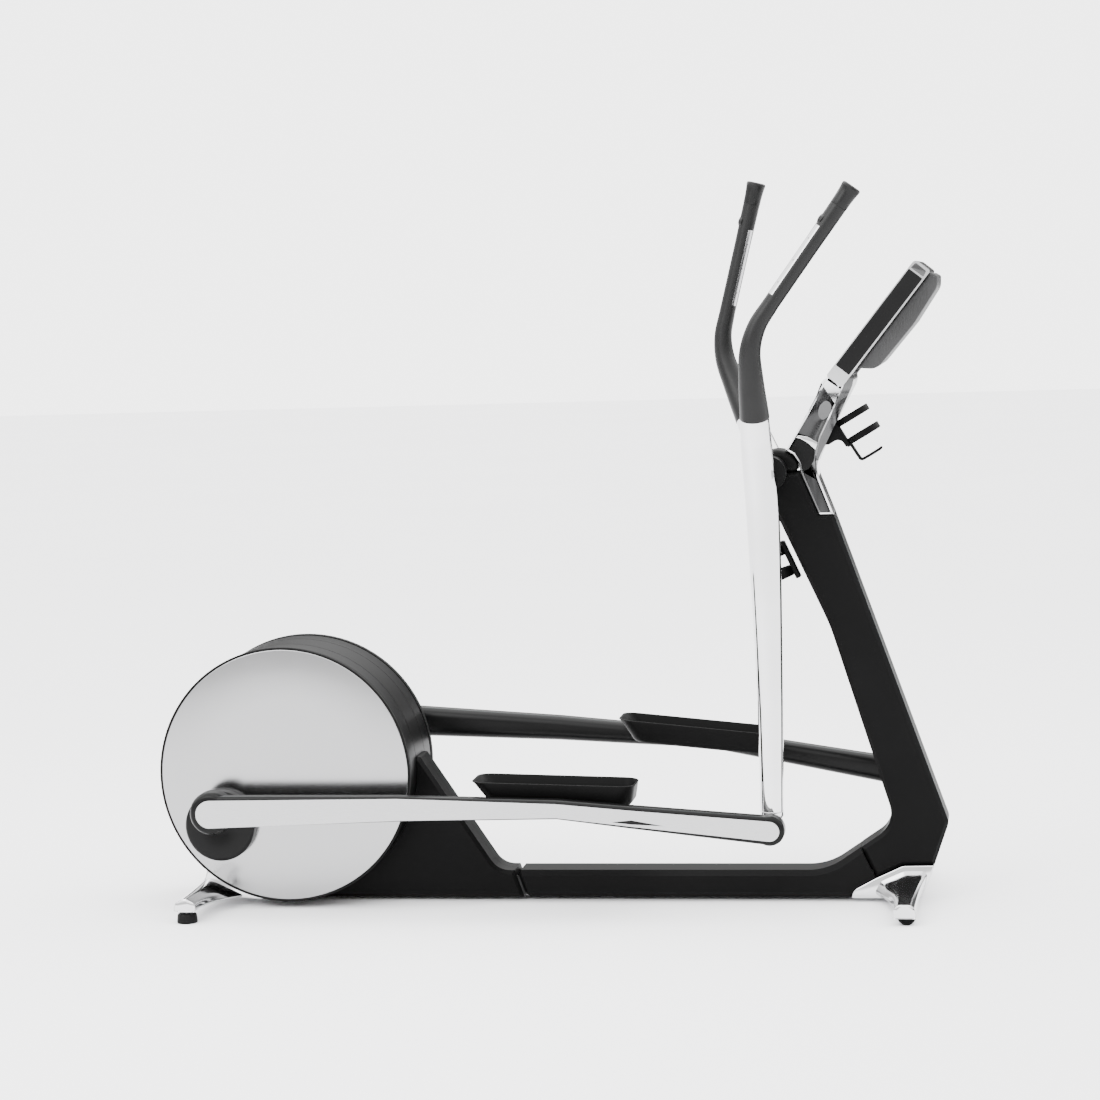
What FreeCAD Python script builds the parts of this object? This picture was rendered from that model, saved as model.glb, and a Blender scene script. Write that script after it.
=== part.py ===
import FreeCAD, Part
import math
import os

import Sketcher

from FreeCAD import Placement, Rotation, Vector

# Elliptical trainer. Millimetres, +X towards the console, +Z up, near side at -Y.
# The origin is on the floor, at the middle of the machine's length and width.

dimensions = {
    # whole machine
    "crank_x": -597.9, "crank_z": 306.0, "frame_width": 100.0, "floor_gap": 9.0,
    "shell_wall": 4.0, "edge_bevel": 8.0, "beam_bevel": 12.0, "panel_gap": 0.6,
    # driving discs and drum
    "disc_radius": 285.0, "disc_face": 134.0, "disc_thickness": 4.0, "rim_width": 5.0, "rim_depth": 14.0,
    "drum_radius": 288.0, "drum_wall": 4.0, "band_width": 94.0, "drum_shell_end": 117.0,
    # linkage
    "crank_radius": 164.1, "crank_angle": 205.6, "arm_length": 1251.0, "lever_length": 773.0,
    "pivot_x": 1112.0, "pivot_z": 966.0,
    # crank parts
    "shaft_radius": 15.0, "boss_radius": 80.0, "boss_depth": 32.0, "boss_offset": 41.0,
    "pin_radius": 22.0, "hub_radius": 55.0, "hub_depth": 10.0,
    # belt drive
    "pulley_radius": 150.0, "pulley_plane": 24.0, "pulley_width": 18.0, "belt_thickness": 4.0,
    "flywheel_x": 196.0, "flywheel_drop": 126.0, "flywheel_radius": 104.0, "flywheel_width": 24.0,
    "flywheel_plane": -24.0, "small_pulley_radius": 25.0, "flywheel_shaft_radius": 8.0,
    "idler_radius": 18.0, "idler_x": 60.0, "plate_thickness": 5.0, "plate_plane": 41.0,
    "bearing_radius": 28.0,
    # pedal arms
    "arm_inner": 194.0, "arm_outer": 242.0, "arm_eye": 49.0, "arm_kink": 784.0, "arm_kink_rise": 34.0,
    "arm_kink_half": 21.0, "arm_rear_half": 36.0, "arm_front_half": 33.0, "arm_front_neck": 31.0, "arm_turn_in": 8.0,
    "strip_thickness": 2.0, "strip_rear_half": 31.5, "strip_kink_half": 15.5, "strip_front_half": 22.0,
    # pedal trays
    "tray_start": 573.0, "tray_end": 948.0, "tray_inner": 64.0, "tray_height": 50.0, "tray_wall": 5.0,
    "tray_floor": 6.0, "tray_rim": 82.0,
    # swinging levers
    "lever_plane": 155.0, "grip_plane": 240.0, "lever_axle_radius": 15.0, "lever_hub_radius": 38.0,
    "lever_hub_start": 120.0, "axle_reach": 182.0, "axle_cover_radius": 34.0,
    "arm_pin_radius": 12.0, "arm_pin_depth": 22.0, "running_gap": 0.05, "side_gap": 0.5,
    "sleeve_joint": 124.7, "cap_joint_x": 162.8, "cap_joint_z": 573.1, "cap_length": 52.0,
    "cap_radius": 22.0, "grip_radius": 18.0, "button_radius": 7.0, "button_height": 10.5, "button_travel": 2.5,
    "sensor_drop": 145.0, "sensor_length": 176.0, "sensor_width": 13.0, "sensor_depth": 2.4,
    # column head
    "head_x": 1122.0, "head_z": 961.0, "head_radius": 51.0,
    # console
    "console_x": 1245.0, "console_z": 1177.0, "console_slope": 51.4, "console_length": 312.0,
    "console_half": 195.0, "console_depth": 42.0, "screen_margin": 16.0, "screen_thickness": 4.0,
    "rear_shell_depth": 40.0, "stem_width": 90.0, "stem_top_width": 230.0,
    # holders
    "bottle_radius": 37.0, "holder_band": 3.0,
    # feet
    "foot_half_span": 305.0, "rear_bar_x": -196.0, "front_bar_x": 1393.0, "bar_half": 25.0,
    "pad_radius": 23.0, "pad_height": 22.0, "pad_plane": 284.0, "roller_radius": 20.0,
    "roller_width": 24.0, "roller_axle_radius": 4.0,
}

doc = FreeCAD.newDocument("elliptical_trainer")
sheet = doc.addObject("Spreadsheet::Sheet", "dims")
for row, (alias, number) in enumerate(dimensions.items(), start=1):
    sheet.set("A%d" % row, alias)
    sheet.set("B%d" % row, str(number))
    sheet.setAlias("B%d" % row, alias)
doc.recompute()

nodes = []


def size(alias):
    return float(sheet.get(alias))


def bind(item, prop, formula):
    item.setExpression(prop, formula)


def keep(item, label):
    """Registers the finished sub-part under its node name."""
    item.Label = label
    nodes.append(item)
    return item


crankX = size("crank_x")
crankZ = size("crank_z")


def at(x, z, y=0.0):
    """A point given from the crank axis along X and from the floor along Z."""
    return Vector(crankX + x, y, z)


# ---------------------------------------------------------------- shared builders

def loopEdges(corners):
    """Lines and corner arcs of a closed outline; each corner is (u, v) or (u, v, radius)."""
    count = len(corners)
    points = [Vector(c[0], c[1], 0) for c in corners]
    radii = [c[2] if len(c) > 2 else 0.0 for c in corners]
    starts, ends, arcs = [], [], []
    for i in range(count):
        here, before, after = points[i], points[i - 1], points[(i + 1) % count]
        if radii[i] <= 0:
            starts.append(here)
            ends.append(here)
            arcs.append(None)
            continue
        back = (before - here).normalize()
        ahead = (after - here).normalize()
        half = back.getAngle(ahead) / 2
        reach = radii[i] / math.tan(half)
        bisector = (back + ahead).normalize()
        centre = here + bisector * (radii[i] / math.sin(half))
        middle = centre - bisector * radii[i]
        starts.append(here + back * reach)
        ends.append(here + ahead * reach)
        arcs.append(Part.Arc(here + back * reach, middle, here + ahead * reach))
    edges = []
    for i in range(count):
        if arcs[i]:
            edges.append(arcs[i])
        edges.append(Part.LineSegment(ends[i], starts[(i + 1) % count]))
    return edges


def sideSketch(name, corners):
    """An outline in the XZ plane of the machine."""
    sketch = doc.addObject("Sketcher::SketchObject", name + "_outline")
    for edge in loopEdges(corners):
        sketch.addGeometry(edge, False)
    sketch.Placement = Placement(Vector(0, 0, 0), Rotation(Vector(1, 0, 0), 90))
    return sketch


def extrude(name, base, forward, backward="0"):
    """Extrudes a side outline to +Y and -Y by two formulas."""
    solid = doc.addObject("Part::Extrusion", name + "_block")
    solid.Base = base
    solid.DirMode = "Custom"
    solid.Dir = Vector(0, 1, 0)
    solid.Solid = True
    bind(solid, "LengthFwd", forward)
    bind(solid, "LengthRev", backward)
    return solid


def slab(name, corners, nearY, farY):
    """A side outline between two Y formulas."""
    return extrude(name, sideSketch(name, corners), farY, "-(" + nearY + ")")


def inset(name, sketch, formula):
    """The same outline moved inwards."""
    offset = doc.addObject("Part::Offset2D", name + "_inset")
    offset.Source = sketch
    offset.Join = "Intersection"
    bind(offset, "Value", "-(" + formula + ")")
    return offset


def cylinder(name, radius, length, base, axis=Vector(0, 1, 0)):
    rod = doc.addObject("Part::Cylinder", name)
    bind(rod, "Radius", radius)
    bind(rod, "Height", length)
    rod.Placement = Placement(base, Rotation(Vector(0, 0, 1), axis))
    return rod


def box(name, length, width, height, corner):
    block = doc.addObject("Part::Box", name)
    bind(block, "Length", length)
    bind(block, "Width", width)
    bind(block, "Height", height)
    block.Placement.Base = corner
    return block


def cut(name, base, *tools):
    for index, tool in enumerate(tools):
        step = doc.addObject("Part::Cut", "%s_cut%d" % (name, index))
        step.Base = base
        step.Tool = tool
        base = step
    return base


def fuse(name, *shapes):
    joined = doc.addObject("Part::MultiFuse", name + "_joined")
    joined.Shapes = list(shapes)
    joined.Refine = True
    return joined


def common(name, first, second):
    shared = doc.addObject("Part::MultiCommon", name + "_shared")
    shared.Shapes = [first, second]
    return shared


def bevel(name, base, amount, wanted, kind="Part::Chamfer"):
    """Bevels the edges whose two ends pass the test."""
    doc.recompute()
    picked = []
    for index, edge in enumerate(base.Shape.Edges, start=1):
        ends = [vertex.Point for vertex in edge.Vertexes]
        if ends and all(wanted(point) for point in ends):
            picked.append((index, amount, amount))
    finished = doc.addObject(kind, name + "_bevelled")
    finished.Base = base
    finished.Edges = picked
    return finished


def roundLoft(name, stations):
    """A round bar through stations of (centre, direction, radius)."""
    sections = []
    for index, (centre, direction, radius) in enumerate(stations):
        ring = doc.addObject("Part::Circle", "%s_ring%d" % (name, index))
        ring.Radius = radius
        ring.Placement = Placement(centre, Rotation(Vector(0, 0, 1), direction))
        sections.append(ring)
    loft = doc.addObject("Part::Loft", name + "_loft")
    loft.Sections = sections
    loft.Solid = True
    loft.Ruled = True
    return loft


def group(name, *shapes):
    """Identical separate pieces in one node."""
    together = doc.addObject("Part::Compound", name + "_group")
    together.Links = list(shapes)
    return together


# ---------------------------------------------------------------- linkage at rest

def turned(x, z, degrees):
    """Turns a side-view vector anticlockwise as seen from the near side."""
    a = math.radians(degrees)
    return x * math.cos(a) - z * math.sin(a), x * math.sin(a) + z * math.cos(a)


def linkage(pinDegrees):
    """Crank pin, lever end, lever angle and arm angle for one crank pin direction."""
    pinX, pinZ = turned(size("crank_radius"), 0, pinDegrees)
    pinZ += crankZ
    dx, dz = size("pivot_x") - pinX, size("pivot_z") - pinZ
    span = math.hypot(dx, dz)
    along = (size("arm_length") ** 2 - size("lever_length") ** 2 + span ** 2) / (2 * span)
    off = math.sqrt(size("arm_length") ** 2 - along ** 2)
    endX = pinX + (along * dx + off * dz) / span
    endZ = pinZ + (along * dz - off * dx) / span
    leverAngle = math.degrees(math.atan2(endX - size("pivot_x"), size("pivot_z") - endZ))
    armAngle = math.degrees(math.atan2(endZ - pinZ, endX - pinX))
    return (pinX, pinZ), (endX, endZ), leverAngle, armAngle


sides = {"near": -1, "far": 1}
rest = {"near": linkage(size("crank_angle")), "far": linkage(size("crank_angle") + 180)}


def sidePlane(side, start, end):
    """The two Y formulas, low first, of a layer between two distances from the centre plane."""
    if side > 0:
        return start, end
    return "-(" + end + ")", "-(" + start + ")"


def sideBase(side, start, end):
    """The lower Y of a layer between two distances from the centre plane."""
    return start if side > 0 else -end


# ---------------------------------------------------------------- frame

beamTop = 70.0
innerCorner = (1368, 175, 60)


def columnOutline():
    head, radius = size("head_x"), size("head_radius")
    return [(head - radius, size("head_z")), (1173, size("head_z")), (1213, 866), (1246, 866),
            (1485, 178, 24), (1452, 84), (1382, 83), (1322, 55), (1290, 122), innerCorner,
            (1232, 620, 400), (1125, 857, 120)]


def shifted(corners):
    """Outline corners from the crank axis, as machine coordinates."""
    return [(crankX + c[0],) + tuple(c[1:]) for c in corners]


def outerEdge(side):
    reach = side * size("frame_width") / 2
    return lambda p: abs(p.y - reach) < 0.01


def halfShell(label, corners, side, hollow, cutter=None):
    """One moulded half of a casing: the outline to half the width, hollowed, outer edges bevelled."""
    sketch = sideSketch(label, shifted(corners))
    low, high = sidePlane(side, "dims.panel_gap / 2", "dims.frame_width / 2")
    body = extrude(label, sketch, high, "-(" + low + ")")
    body = bevel(label, body, size("edge_bevel"), outerEdge(side))
    space = inset(label, sketch, hollow)
    low, high = sidePlane(side, "0", "dims.frame_width / 2 - dims.shell_wall")
    inner = extrude(label + "_space", space, high, "-(" + low + ")")
    body = cut(label, body, inner)
    if cutter:
        body = cut(label + "_round", body, cutter(label))
    return keep(body, label)


def axleHole(label):
    """Clears the lever axle and the tube that carries it."""
    rod = cylinder(label + "_axle_hole", "dims.lever_axle_radius + 0.2", "dims.frame_width + 10",
                   at(size("pivot_x"), size("pivot_z"), -size("frame_width") / 2 - 5))
    tube = cylinder(label + "_tube_hole", "dims.lever_axle_radius + 9.2", "64.4",
                    at(size("pivot_x"), size("pivot_z"), -32.2))
    return fuse(label + "_axle_space", rod, tube)


def makeColumn():
    for word, side in sides.items():
        halfShell("column_shell_" + word, columnOutline(), side, "dims.edge_bevel + 1", axleHole)
    sketch = sideSketch("column_core", shifted(columnOutline()))
    outer = extrude("column_core", inset("column_core", sketch, "dims.edge_bevel + 2"), "32", "32")
    inner = extrude("column_core_space", inset("column_core_space", sketch, "dims.edge_bevel + 8"), "40", "40")
    tube = cylinder("column_core_boss", "dims.lever_axle_radius + 9", "64",
                    at(size("pivot_x"), size("pivot_z"), -32))
    hole = cylinder("column_core_hole", "dims.lever_axle_radius", "70", at(size("pivot_x"), size("pivot_z"), -35))
    ring = cut("column_core_ring", outer, inner)
    limit = box("column_core_limit", "600", "80", "dims.head_z - 40", at(1000, 40, -40))
    keep(cut("column_core_bore", fuse("column_core", common("column_core", ring, limit), tube), hole),
         "column_core")


def makeAxleCap():
    dome = cylinder("axle_cap_round", "dims.head_radius", "dims.frame_width - 2",
                    at(size("head_x"), size("head_z"), 1 - size("frame_width") / 2))
    lower = box("axle_cap_lower", "300", "200", "200", at(size("head_x") - 150, size("head_z") - 199.6, -100))
    half = cut("axle_cap", dome, lower)
    half = bevel("axle_cap", half, 14, lambda p: abs(p.y) > size("frame_width") / 2 - 2, "Part::Fillet")
    hollow = cylinder("axle_cap_hollow", "dims.head_radius - 15", "dims.frame_width - 34",
                      at(size("head_x"), size("head_z"), 17 - size("frame_width") / 2))
    keep(cut("axle_cap_bored", half, axleHole("axle_cap"), hollow), "axle_cap")


def rearOutline():
    return [(-30, size("floor_gap")), (526, size("floor_gap")), (505, beamTop), (467, beamTop, 50),
            (296, 330), (150, 360), (-30, 200)]


def makeRearPanels():
    def openings(label):
        drum = cylinder(label + "_drum", "dims.drum_radius + 1", "400", at(0, crankZ, -200))
        return fuse(label + "_openings", drum, box(label + "_member", "360", "83", "43.5", at(189, 13.7, -41.5)))
    for word, side in sides.items():
        halfShell("rear_panel_" + word, rearOutline(), side, "dims.edge_bevel + 1", openings)


def makeBeam():
    """The steel base member and its cover, both straight along X."""
    wide, low = size("frame_width") / 2, size("floor_gap")
    line = [(527.5, low), (506.5, beamTop), (1213, beamTop, 140), (1303, 131), (1330, 131), (1330, low)]
    sketch = sideSketch("beam_cover", shifted(line))
    cover = extrude("beam_cover", sketch, "dims.frame_width / 2", "dims.frame_width / 2")
    cover = bevel("beam_cover", cover, size("beam_bevel"), lambda p: abs(abs(p.y) - wide) < 0.01)
    space = extrude("beam_cover_space", inset("beam_cover", sketch, "dims.beam_bevel + 1"),
                    "dims.frame_width / 2 - dims.shell_wall", "dims.frame_width / 2 - dims.shell_wall")
    passage = box("beam_cover_passage", "900", "83", "43.5", at(480, 13.7, -41.5))
    ends = slab("beam_cover_ends", shifted([(500, 0), (1265, 0), (1268.8, 22.3), (1276.6, 30.6), (1320.6, 55.2),
                                            (1288.9, 121.6), (1280, 140), (500, 140)]), "-80", "80")
    keep(common("beam_cover", cut("beam_cover_hollow", cover, space, passage), ends), "beam_cover")
    member = doc.addObject("PartDesign::Body", "base_beam_body")
    loops = [[(-41, 0), (41, 0), (41, 42), (-41, 42)], [(-37, 4), (37, 4), (37, 38), (-37, 38)]]
    padAlongX(member, loops, "1130", at(190, 14.5))
    keep(member, "base_beam")


def padAlongX(body, loops, length, base):
    """Pads closed loops drawn in the YZ plane along +X."""
    plane = [f for f in body.Origin.OriginFeatures if f.Role == "YZ_Plane"][0]
    sketch = body.newObject("Sketcher::SketchObject", body.Name + "_section")
    sketch.AttachmentSupport = [(plane, "")]
    sketch.MapMode = "FlatFace"
    for loop in loops:
        for edge in loopEdges(loop):
            sketch.addGeometry(edge, False)
    pad = body.newObject("PartDesign::Pad", body.Name + "_pad")
    pad.Profile = sketch
    bind(pad, "Length", length)
    body.Placement.Base = base
    return pad


def makeDrum():
    """The fixed casing between the two driving discs: a middle band and two side shells."""
    half = size("band_width") / 2
    ring = cylinder("drum_band_outer", "dims.drum_radius", "dims.band_width", at(0, crankZ, -half))
    space = cylinder("drum_band_space", "dims.drum_radius - dims.drum_wall", "dims.band_width + 2",
                     at(0, crankZ, -half - 1))
    outline = sideSketch("drum_band_opening", shifted(rearOutline()))
    opening = extrude("drum_band_opening", inset("drum_band_opening", outline, "dims.edge_bevel + 1"), "60", "60")
    keep(cut("drum_band", ring, space, opening), "drum_band")
    for word, side in sides.items():
        label = "drum_shell_" + word
        start, end = half + size("panel_gap"), size("drum_shell_end")
        outer = cylinder(label + "_outer", "dims.drum_radius", "dims.drum_shell_end - dims.band_width / 2"
                         " - dims.panel_gap", at(0, crankZ, sideBase(side, start, end)))
        inner = cylinder(label + "_inner", "dims.drum_radius - dims.drum_wall",
                         "dims.drum_shell_end - dims.band_width / 2 - dims.panel_gap - dims.drum_wall",
                         at(0, crankZ, sideBase(side, start, end - size("drum_wall"))))
        hole = cylinder(label + "_hole", "dims.hub_radius + 6", "60",
                        at(0, crankZ, sideBase(side, end - 30, end + 30)))
        keep(cut(label, outer, inner, hole), label)


# ---------------------------------------------------------------- crank set

def makeCrankset():
    face, thick = size("disc_face"), size("disc_thickness")
    back = face - thick
    shaft = cylinder("crankshaft_rod", "dims.shaft_radius", "2 * (dims.disc_face - dims.disc_thickness)",
                     at(0, crankZ, -back))
    keep(shaft, "crankshaft")
    rims, bosses, pins = [], [], []
    for word, side in sides.items():
        label = "drive_disc_" + word
        plate = cylinder(label + "_plate", "dims.disc_radius", "dims.disc_thickness",
                         at(0, crankZ, sideBase(side, back, face)))
        hub = cylinder(label + "_hub", "dims.hub_radius", "dims.hub_depth",
                       at(0, crankZ, sideBase(side, back - size("hub_depth"), back)))
        bore = cylinder(label + "_bore", "dims.shaft_radius", "dims.hub_depth",
                        at(0, crankZ, sideBase(side, back - size("hub_depth"), back)))
        keep(cut(label, fuse(label, plate, hub), bore), label)
        start = face - size("rim_depth")
        outer = cylinder("rim_outer_" + word, "dims.disc_radius + dims.rim_width", "dims.rim_depth",
                         at(0, crankZ, sideBase(side, start, face)))
        inner = cylinder("rim_inner_" + word, "dims.disc_radius", "dims.rim_depth",
                         at(0, crankZ, sideBase(side, start, face)))
        rims.append(cut("rim_" + word, outer, inner))
        (pinX, pinZ), _, _, _ = rest[word]
        lean = size("boss_offset") if side < 0 else -size("boss_offset")
        block = cylinder("boss_" + word, "dims.boss_radius", "dims.boss_depth",
                         at(pinX, pinZ - lean, sideBase(side, face, face + size("boss_depth"))))
        tip = side * (face + size("boss_depth"))
        bosses.append(bevel("boss_" + word, block, 8, lambda p, tip=tip: abs(p.y - tip) < 0.01, "Part::Fillet"))
        start, end = face + size("boss_depth"), size("arm_inner") - size("side_gap")
        pins.append(cylinder("pin_" + word, "dims.pin_radius",
                             "dims.arm_inner - dims.side_gap - dims.disc_face - dims.boss_depth",
                             at(pinX, pinZ, sideBase(side, start, end))))
    keep(group("disc_rims", *rims), "disc_rims")
    keep(group("crank_bosses", *bosses), "crank_bosses")
    keep(group("crank_pins", *pins), "crank_pins")
    makePulley()


def makePulley():
    plane, width = size("pulley_plane"), size("pulley_width")
    profile = [(size("shaft_radius"), plane - 16), (32, plane - 16), (32, plane - 4), (size("pulley_radius") - 12, plane - 4),
               (size("pulley_radius") - 12, plane - width / 2), (size("pulley_radius"), plane - width / 2),
               (size("pulley_radius"), plane + width / 2), (size("pulley_radius") - 12, plane + width / 2),
               (size("pulley_radius") - 12, plane + 4), (size("shaft_radius"), plane + 4)]
    keep(revolveAboutY("drive_pulley", profile, at(0, crankZ)), "drive_pulley")


def revolveAboutY(name, profile, base):
    """Turns a half section, given as (radius, y), about the Y axis through a point."""
    body = doc.addObject("PartDesign::Body", name + "_body")
    plane = [f for f in body.Origin.OriginFeatures if f.Role == "XY_Plane"][0]
    axis = [f for f in body.Origin.OriginFeatures if f.Role == "Y_Axis"][0]
    sketch = body.newObject("Sketcher::SketchObject", name + "_section")
    sketch.AttachmentSupport = [(plane, "")]
    sketch.MapMode = "FlatFace"
    for edge in loopEdges(profile):
        sketch.addGeometry(edge, False)
    turn = body.newObject("PartDesign::Revolution", name + "_turn")
    turn.Profile = sketch
    turn.ReferenceAxis = (axis, [""])
    turn.Angle = 360
    body.Placement.Base = base
    return body


# ---------------------------------------------------------------- belt drive inside the drum

flywheelX = size("flywheel_x")
flywheelZ = crankZ - size("flywheel_drop")


def makeFlywheel():
    plane, wide = size("flywheel_plane"), size("flywheel_width") / 2
    shaftR = size("flywheel_shaft_radius")
    profile = [(shaftR, plane - wide), (26, plane - wide), (26, plane - 5), (size("flywheel_radius") - 26, plane - 5),
               (size("flywheel_radius") - 26, plane - wide), (size("flywheel_radius"), plane - wide),
               (size("flywheel_radius"), plane + wide), (size("flywheel_radius") - 26, plane + wide),
               (size("flywheel_radius") - 26, plane + 5), (26, plane + 5), (26, plane + wide), (shaftR, plane + wide)]
    keep(revolveAboutY("flywheel", profile, at(flywheelX, flywheelZ)), "flywheel")
    shaft = cylinder("flywheel_shaft_rod", "dims.flywheel_shaft_radius", "2 * dims.plate_plane",
                     at(flywheelX, flywheelZ, -size("plate_plane")))
    plane = size("pulley_plane")
    wheel = cylinder("flywheel_small_pulley", "dims.small_pulley_radius", "dims.pulley_width",
                     at(flywheelX, flywheelZ, plane - size("pulley_width") / 2))
    keep(fuse("flywheel_shaft", shaft, wheel), "flywheel_shaft")


def beltSide():
    """Centres, radii and the unit normal of the two straight belt runs."""
    dx, dz = flywheelX, flywheelZ - crankZ
    span = math.hypot(dx, dz)
    lean = math.degrees(math.acos((size("pulley_radius") - size("small_pulley_radius")) / span))
    heading = math.degrees(math.atan2(dz, dx))
    return heading, lean


def beltLoop(clear):
    """A closed belt line around both pulleys at a clearance from them."""
    heading, lean = beltSide()
    big, little = size("pulley_radius") + clear, size("small_pulley_radius") + clear

    def rim(centreX, centreZ, radius, degrees):
        x, z = turned(radius, 0, degrees)
        return Vector(crankX + centreX + x, centreZ + z, 0)

    upBig, upLittle = rim(0, crankZ, big, heading + lean), rim(flywheelX, flywheelZ, little, heading + lean)
    lowBig, lowLittle = rim(0, crankZ, big, heading - lean), rim(flywheelX, flywheelZ, little, heading - lean)
    return [Part.LineSegment(upBig, upLittle),
            Part.Arc(upLittle, rim(flywheelX, flywheelZ, little, heading), lowLittle),
            Part.LineSegment(lowLittle, lowBig),
            Part.Arc(lowBig, rim(0, crankZ, big, heading + 180), upBig)]


def makeBelt():
    sketch = doc.addObject("Sketcher::SketchObject", "drive_belt_outline")
    gap = 0.4
    for edge in beltLoop(gap) + beltLoop(gap + size("belt_thickness")):
        sketch.addGeometry(edge, False)
    sketch.Placement = Placement(Vector(0, 0, 0), Rotation(Vector(1, 0, 0), 90))
    half = size("pulley_width") / 2 - 1
    keep(extrude("drive_belt", sketch, str(size("pulley_plane") + half), str(half - size("pulley_plane"))),
         "drive_belt")


def idlerPlace():
    """The idler runs on the outside of the lower belt run."""
    heading, lean = beltSide()
    normalX, normalZ = turned(1, 0, heading - lean)
    reach = size("pulley_radius") + size("belt_thickness") + 1.0 + size("idler_radius")
    alongX, alongZ = turned(1, 0, heading - lean + 90)
    shift = size("idler_x")
    return normalX * reach + alongX * shift, crankZ + normalZ * reach + alongZ * shift


def makeDriveSupports():
    """Steel side plates, bearings, the idler and the magnet brake."""
    plates = []
    for word, side in sides.items():
        low = sideBase(side, size("plate_plane"), size("plate_plane") + size("plate_thickness"))
        outline = shifted([(-60, 40, 20), (250, 40, 20), (262, 190, 40), (60, 372, 40), (-60, 372, 40)])
        plate = slab("drive_plate_" + word, outline, str(low), str(low + size("plate_thickness")))
        bore = cylinder("drive_plate_bore_" + word, "dims.bearing_radius", "20", at(0, crankZ, low - 5))
        small = cylinder("drive_plate_small_bore_" + word, "dims.flywheel_shaft_radius + dims.running_gap", "20",
                         at(flywheelX, flywheelZ, low - 5))
        plates.append(cut("drive_plate_" + word, plate, bore, small))
    keep(group("drive_plates", *plates), "drive_plates")
    bearings = []
    for word, side in sides.items():
        low = sideBase(side, size("plate_plane"), size("plate_plane") + size("plate_thickness"))
        race = cylinder("bearing_" + word, "dims.bearing_radius", "dims.plate_thickness", at(0, crankZ, low))
        bore = cylinder("bearing_bore_" + word, "dims.shaft_radius + dims.running_gap", "20", at(0, crankZ, low - 5))
        bearings.append(cut("bearing_" + word, race, bore))
    keep(group("crank_bearings", *bearings), "crank_bearings")
    idlerX, idlerZ = idlerPlace()
    plane, width = size("pulley_plane"), size("pulley_width")
    roller = cylinder("idler_rim", "dims.idler_radius", "dims.pulley_width - 4", at(idlerX, idlerZ, plane - width / 2 + 2))
    bore = cylinder("idler_bore", "5", "40", at(idlerX, idlerZ, plane - 20))
    keep(cut("belt_idler", roller, bore), "belt_idler")
    keep(cylinder("idler_bolt_rod", "4.95", "dims.plate_plane - dims.pulley_plane + dims.pulley_width / 2 - 2",
                  at(idlerX, idlerZ, plane - width / 2 + 2)), "idler_bolt")
    reach = size("flywheel_radius")
    block = slab("brake_magnet", shifted([(flywheelX - 30, flywheelZ + reach + 2), (flywheelX + 30, flywheelZ + reach + 2),
                                          (flywheelX + 30, flywheelZ + reach + 26), (flywheelX - 30, flywheelZ + reach + 26)]),
                 "-40.5", "-8")
    keep(block, "brake_magnet")


# ---------------------------------------------------------------- pedal arms

def armStations():
    """Centre height, half height and turn-in of the arm at points along it."""
    length, kink = size("arm_length"), size("arm_kink")
    return [(0.0, 4.0, size("arm_rear_half"), 0.0),
            (430.0, 25.0, 28.0, 0.0),
            (kink, size("arm_kink_rise"), size("arm_kink_half"), 0.0),
            (size("tray_end") + 2, 21.8, 24.6, 0.0),
            (length, 0.0, size("arm_front_neck"), size("arm_turn_in"))]


def ruledBar(name, stations, side, inner, outer, corner):
    """A bar of rounded sections along X, ruled between stations of (s, h, half height, turn-in)."""
    body = doc.addObject("PartDesign::Body", name + "_body")
    plane = [f for f in body.Origin.OriginFeatures if f.Role == "YZ_Plane"][0]
    sketches = []
    for index, (s, rise, half, turnIn) in enumerate(stations):
        sketch = body.newObject("Sketcher::SketchObject", "%s_section%d" % (name, index))
        sketch.AttachmentSupport = [(plane, "")]
        sketch.MapMode = "FlatFace"
        sketch.AttachmentOffset = Placement(Vector(0, 0, s), Rotation())
        y0, y1 = sorted((side * (inner - turnIn), side * (outer - turnIn)))
        loop = [(y0, rise - half, corner), (y1, rise - half, corner), (y1, rise + half, corner), (y0, rise + half, corner)]
        for edge in loopEdges(loop):
            sketch.addGeometry(edge, False)
        sketches.append(sketch)
    loft = body.newObject("PartDesign::AdditiveLoft", name + "_loft")
    loft.Profile = sketches[0]
    loft.Sections = sketches[1:]
    loft.Ruled = True
    return body


def armPlacement(word):
    (pinX, pinZ), _, _, armAngle = rest[word]
    return Placement(at(pinX, pinZ), Rotation(Vector(0, 1, 0), -armAngle))


def localCylinder(name, radius, length, x, z, low):
    rod = doc.addObject("Part::Cylinder", name)
    bind(rod, "Radius", radius)
    bind(rod, "Height", length)
    rod.Placement = Placement(Vector(x, low, z), Rotation(Vector(0, 0, 1), Vector(0, 1, 0)))
    return rod


def makeArm(word, side):
    inner, outer, turnIn = size("arm_inner"), size("arm_outer"), size("arm_turn_in")
    label = "pedal_arm_" + word
    bar = ruledBar(label, armStations(), side, inner, outer, 13.0)
    eye = localCylinder(label + "_eye", "dims.arm_eye", "dims.arm_outer - dims.arm_inner", 0, 0,
                        sideBase(side, inner, outer))
    eye = bevel(label + "_eye", eye, 12, lambda p: abs(abs(p.y) - outer) < 0.01, "Part::Fillet")
    front = localCylinder(label + "_front", "dims.arm_front_half", "dims.arm_outer - dims.arm_inner",
                          size("arm_length"), 0, sideBase(side, inner - turnIn, outer - turnIn))
    front = bevel(label + "_front", front, 9, lambda p: True, "Part::Fillet")
    depth = size("arm_pin_depth")
    bore = localCylinder(label + "_bore", "dims.arm_pin_radius + dims.running_gap", "dims.arm_pin_depth + 1",
                         size("arm_length"), 0, sideBase(side, inner - turnIn - 1, inner - turnIn + depth))
    arm = fuse(label, cut(label + "_bar", bar, bore), eye, cut(label + "_front", front, bore))
    arm.Placement = armPlacement(word)
    keep(arm, label)
    makeStrip(word, side)
    makeTray(word, side)


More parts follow.
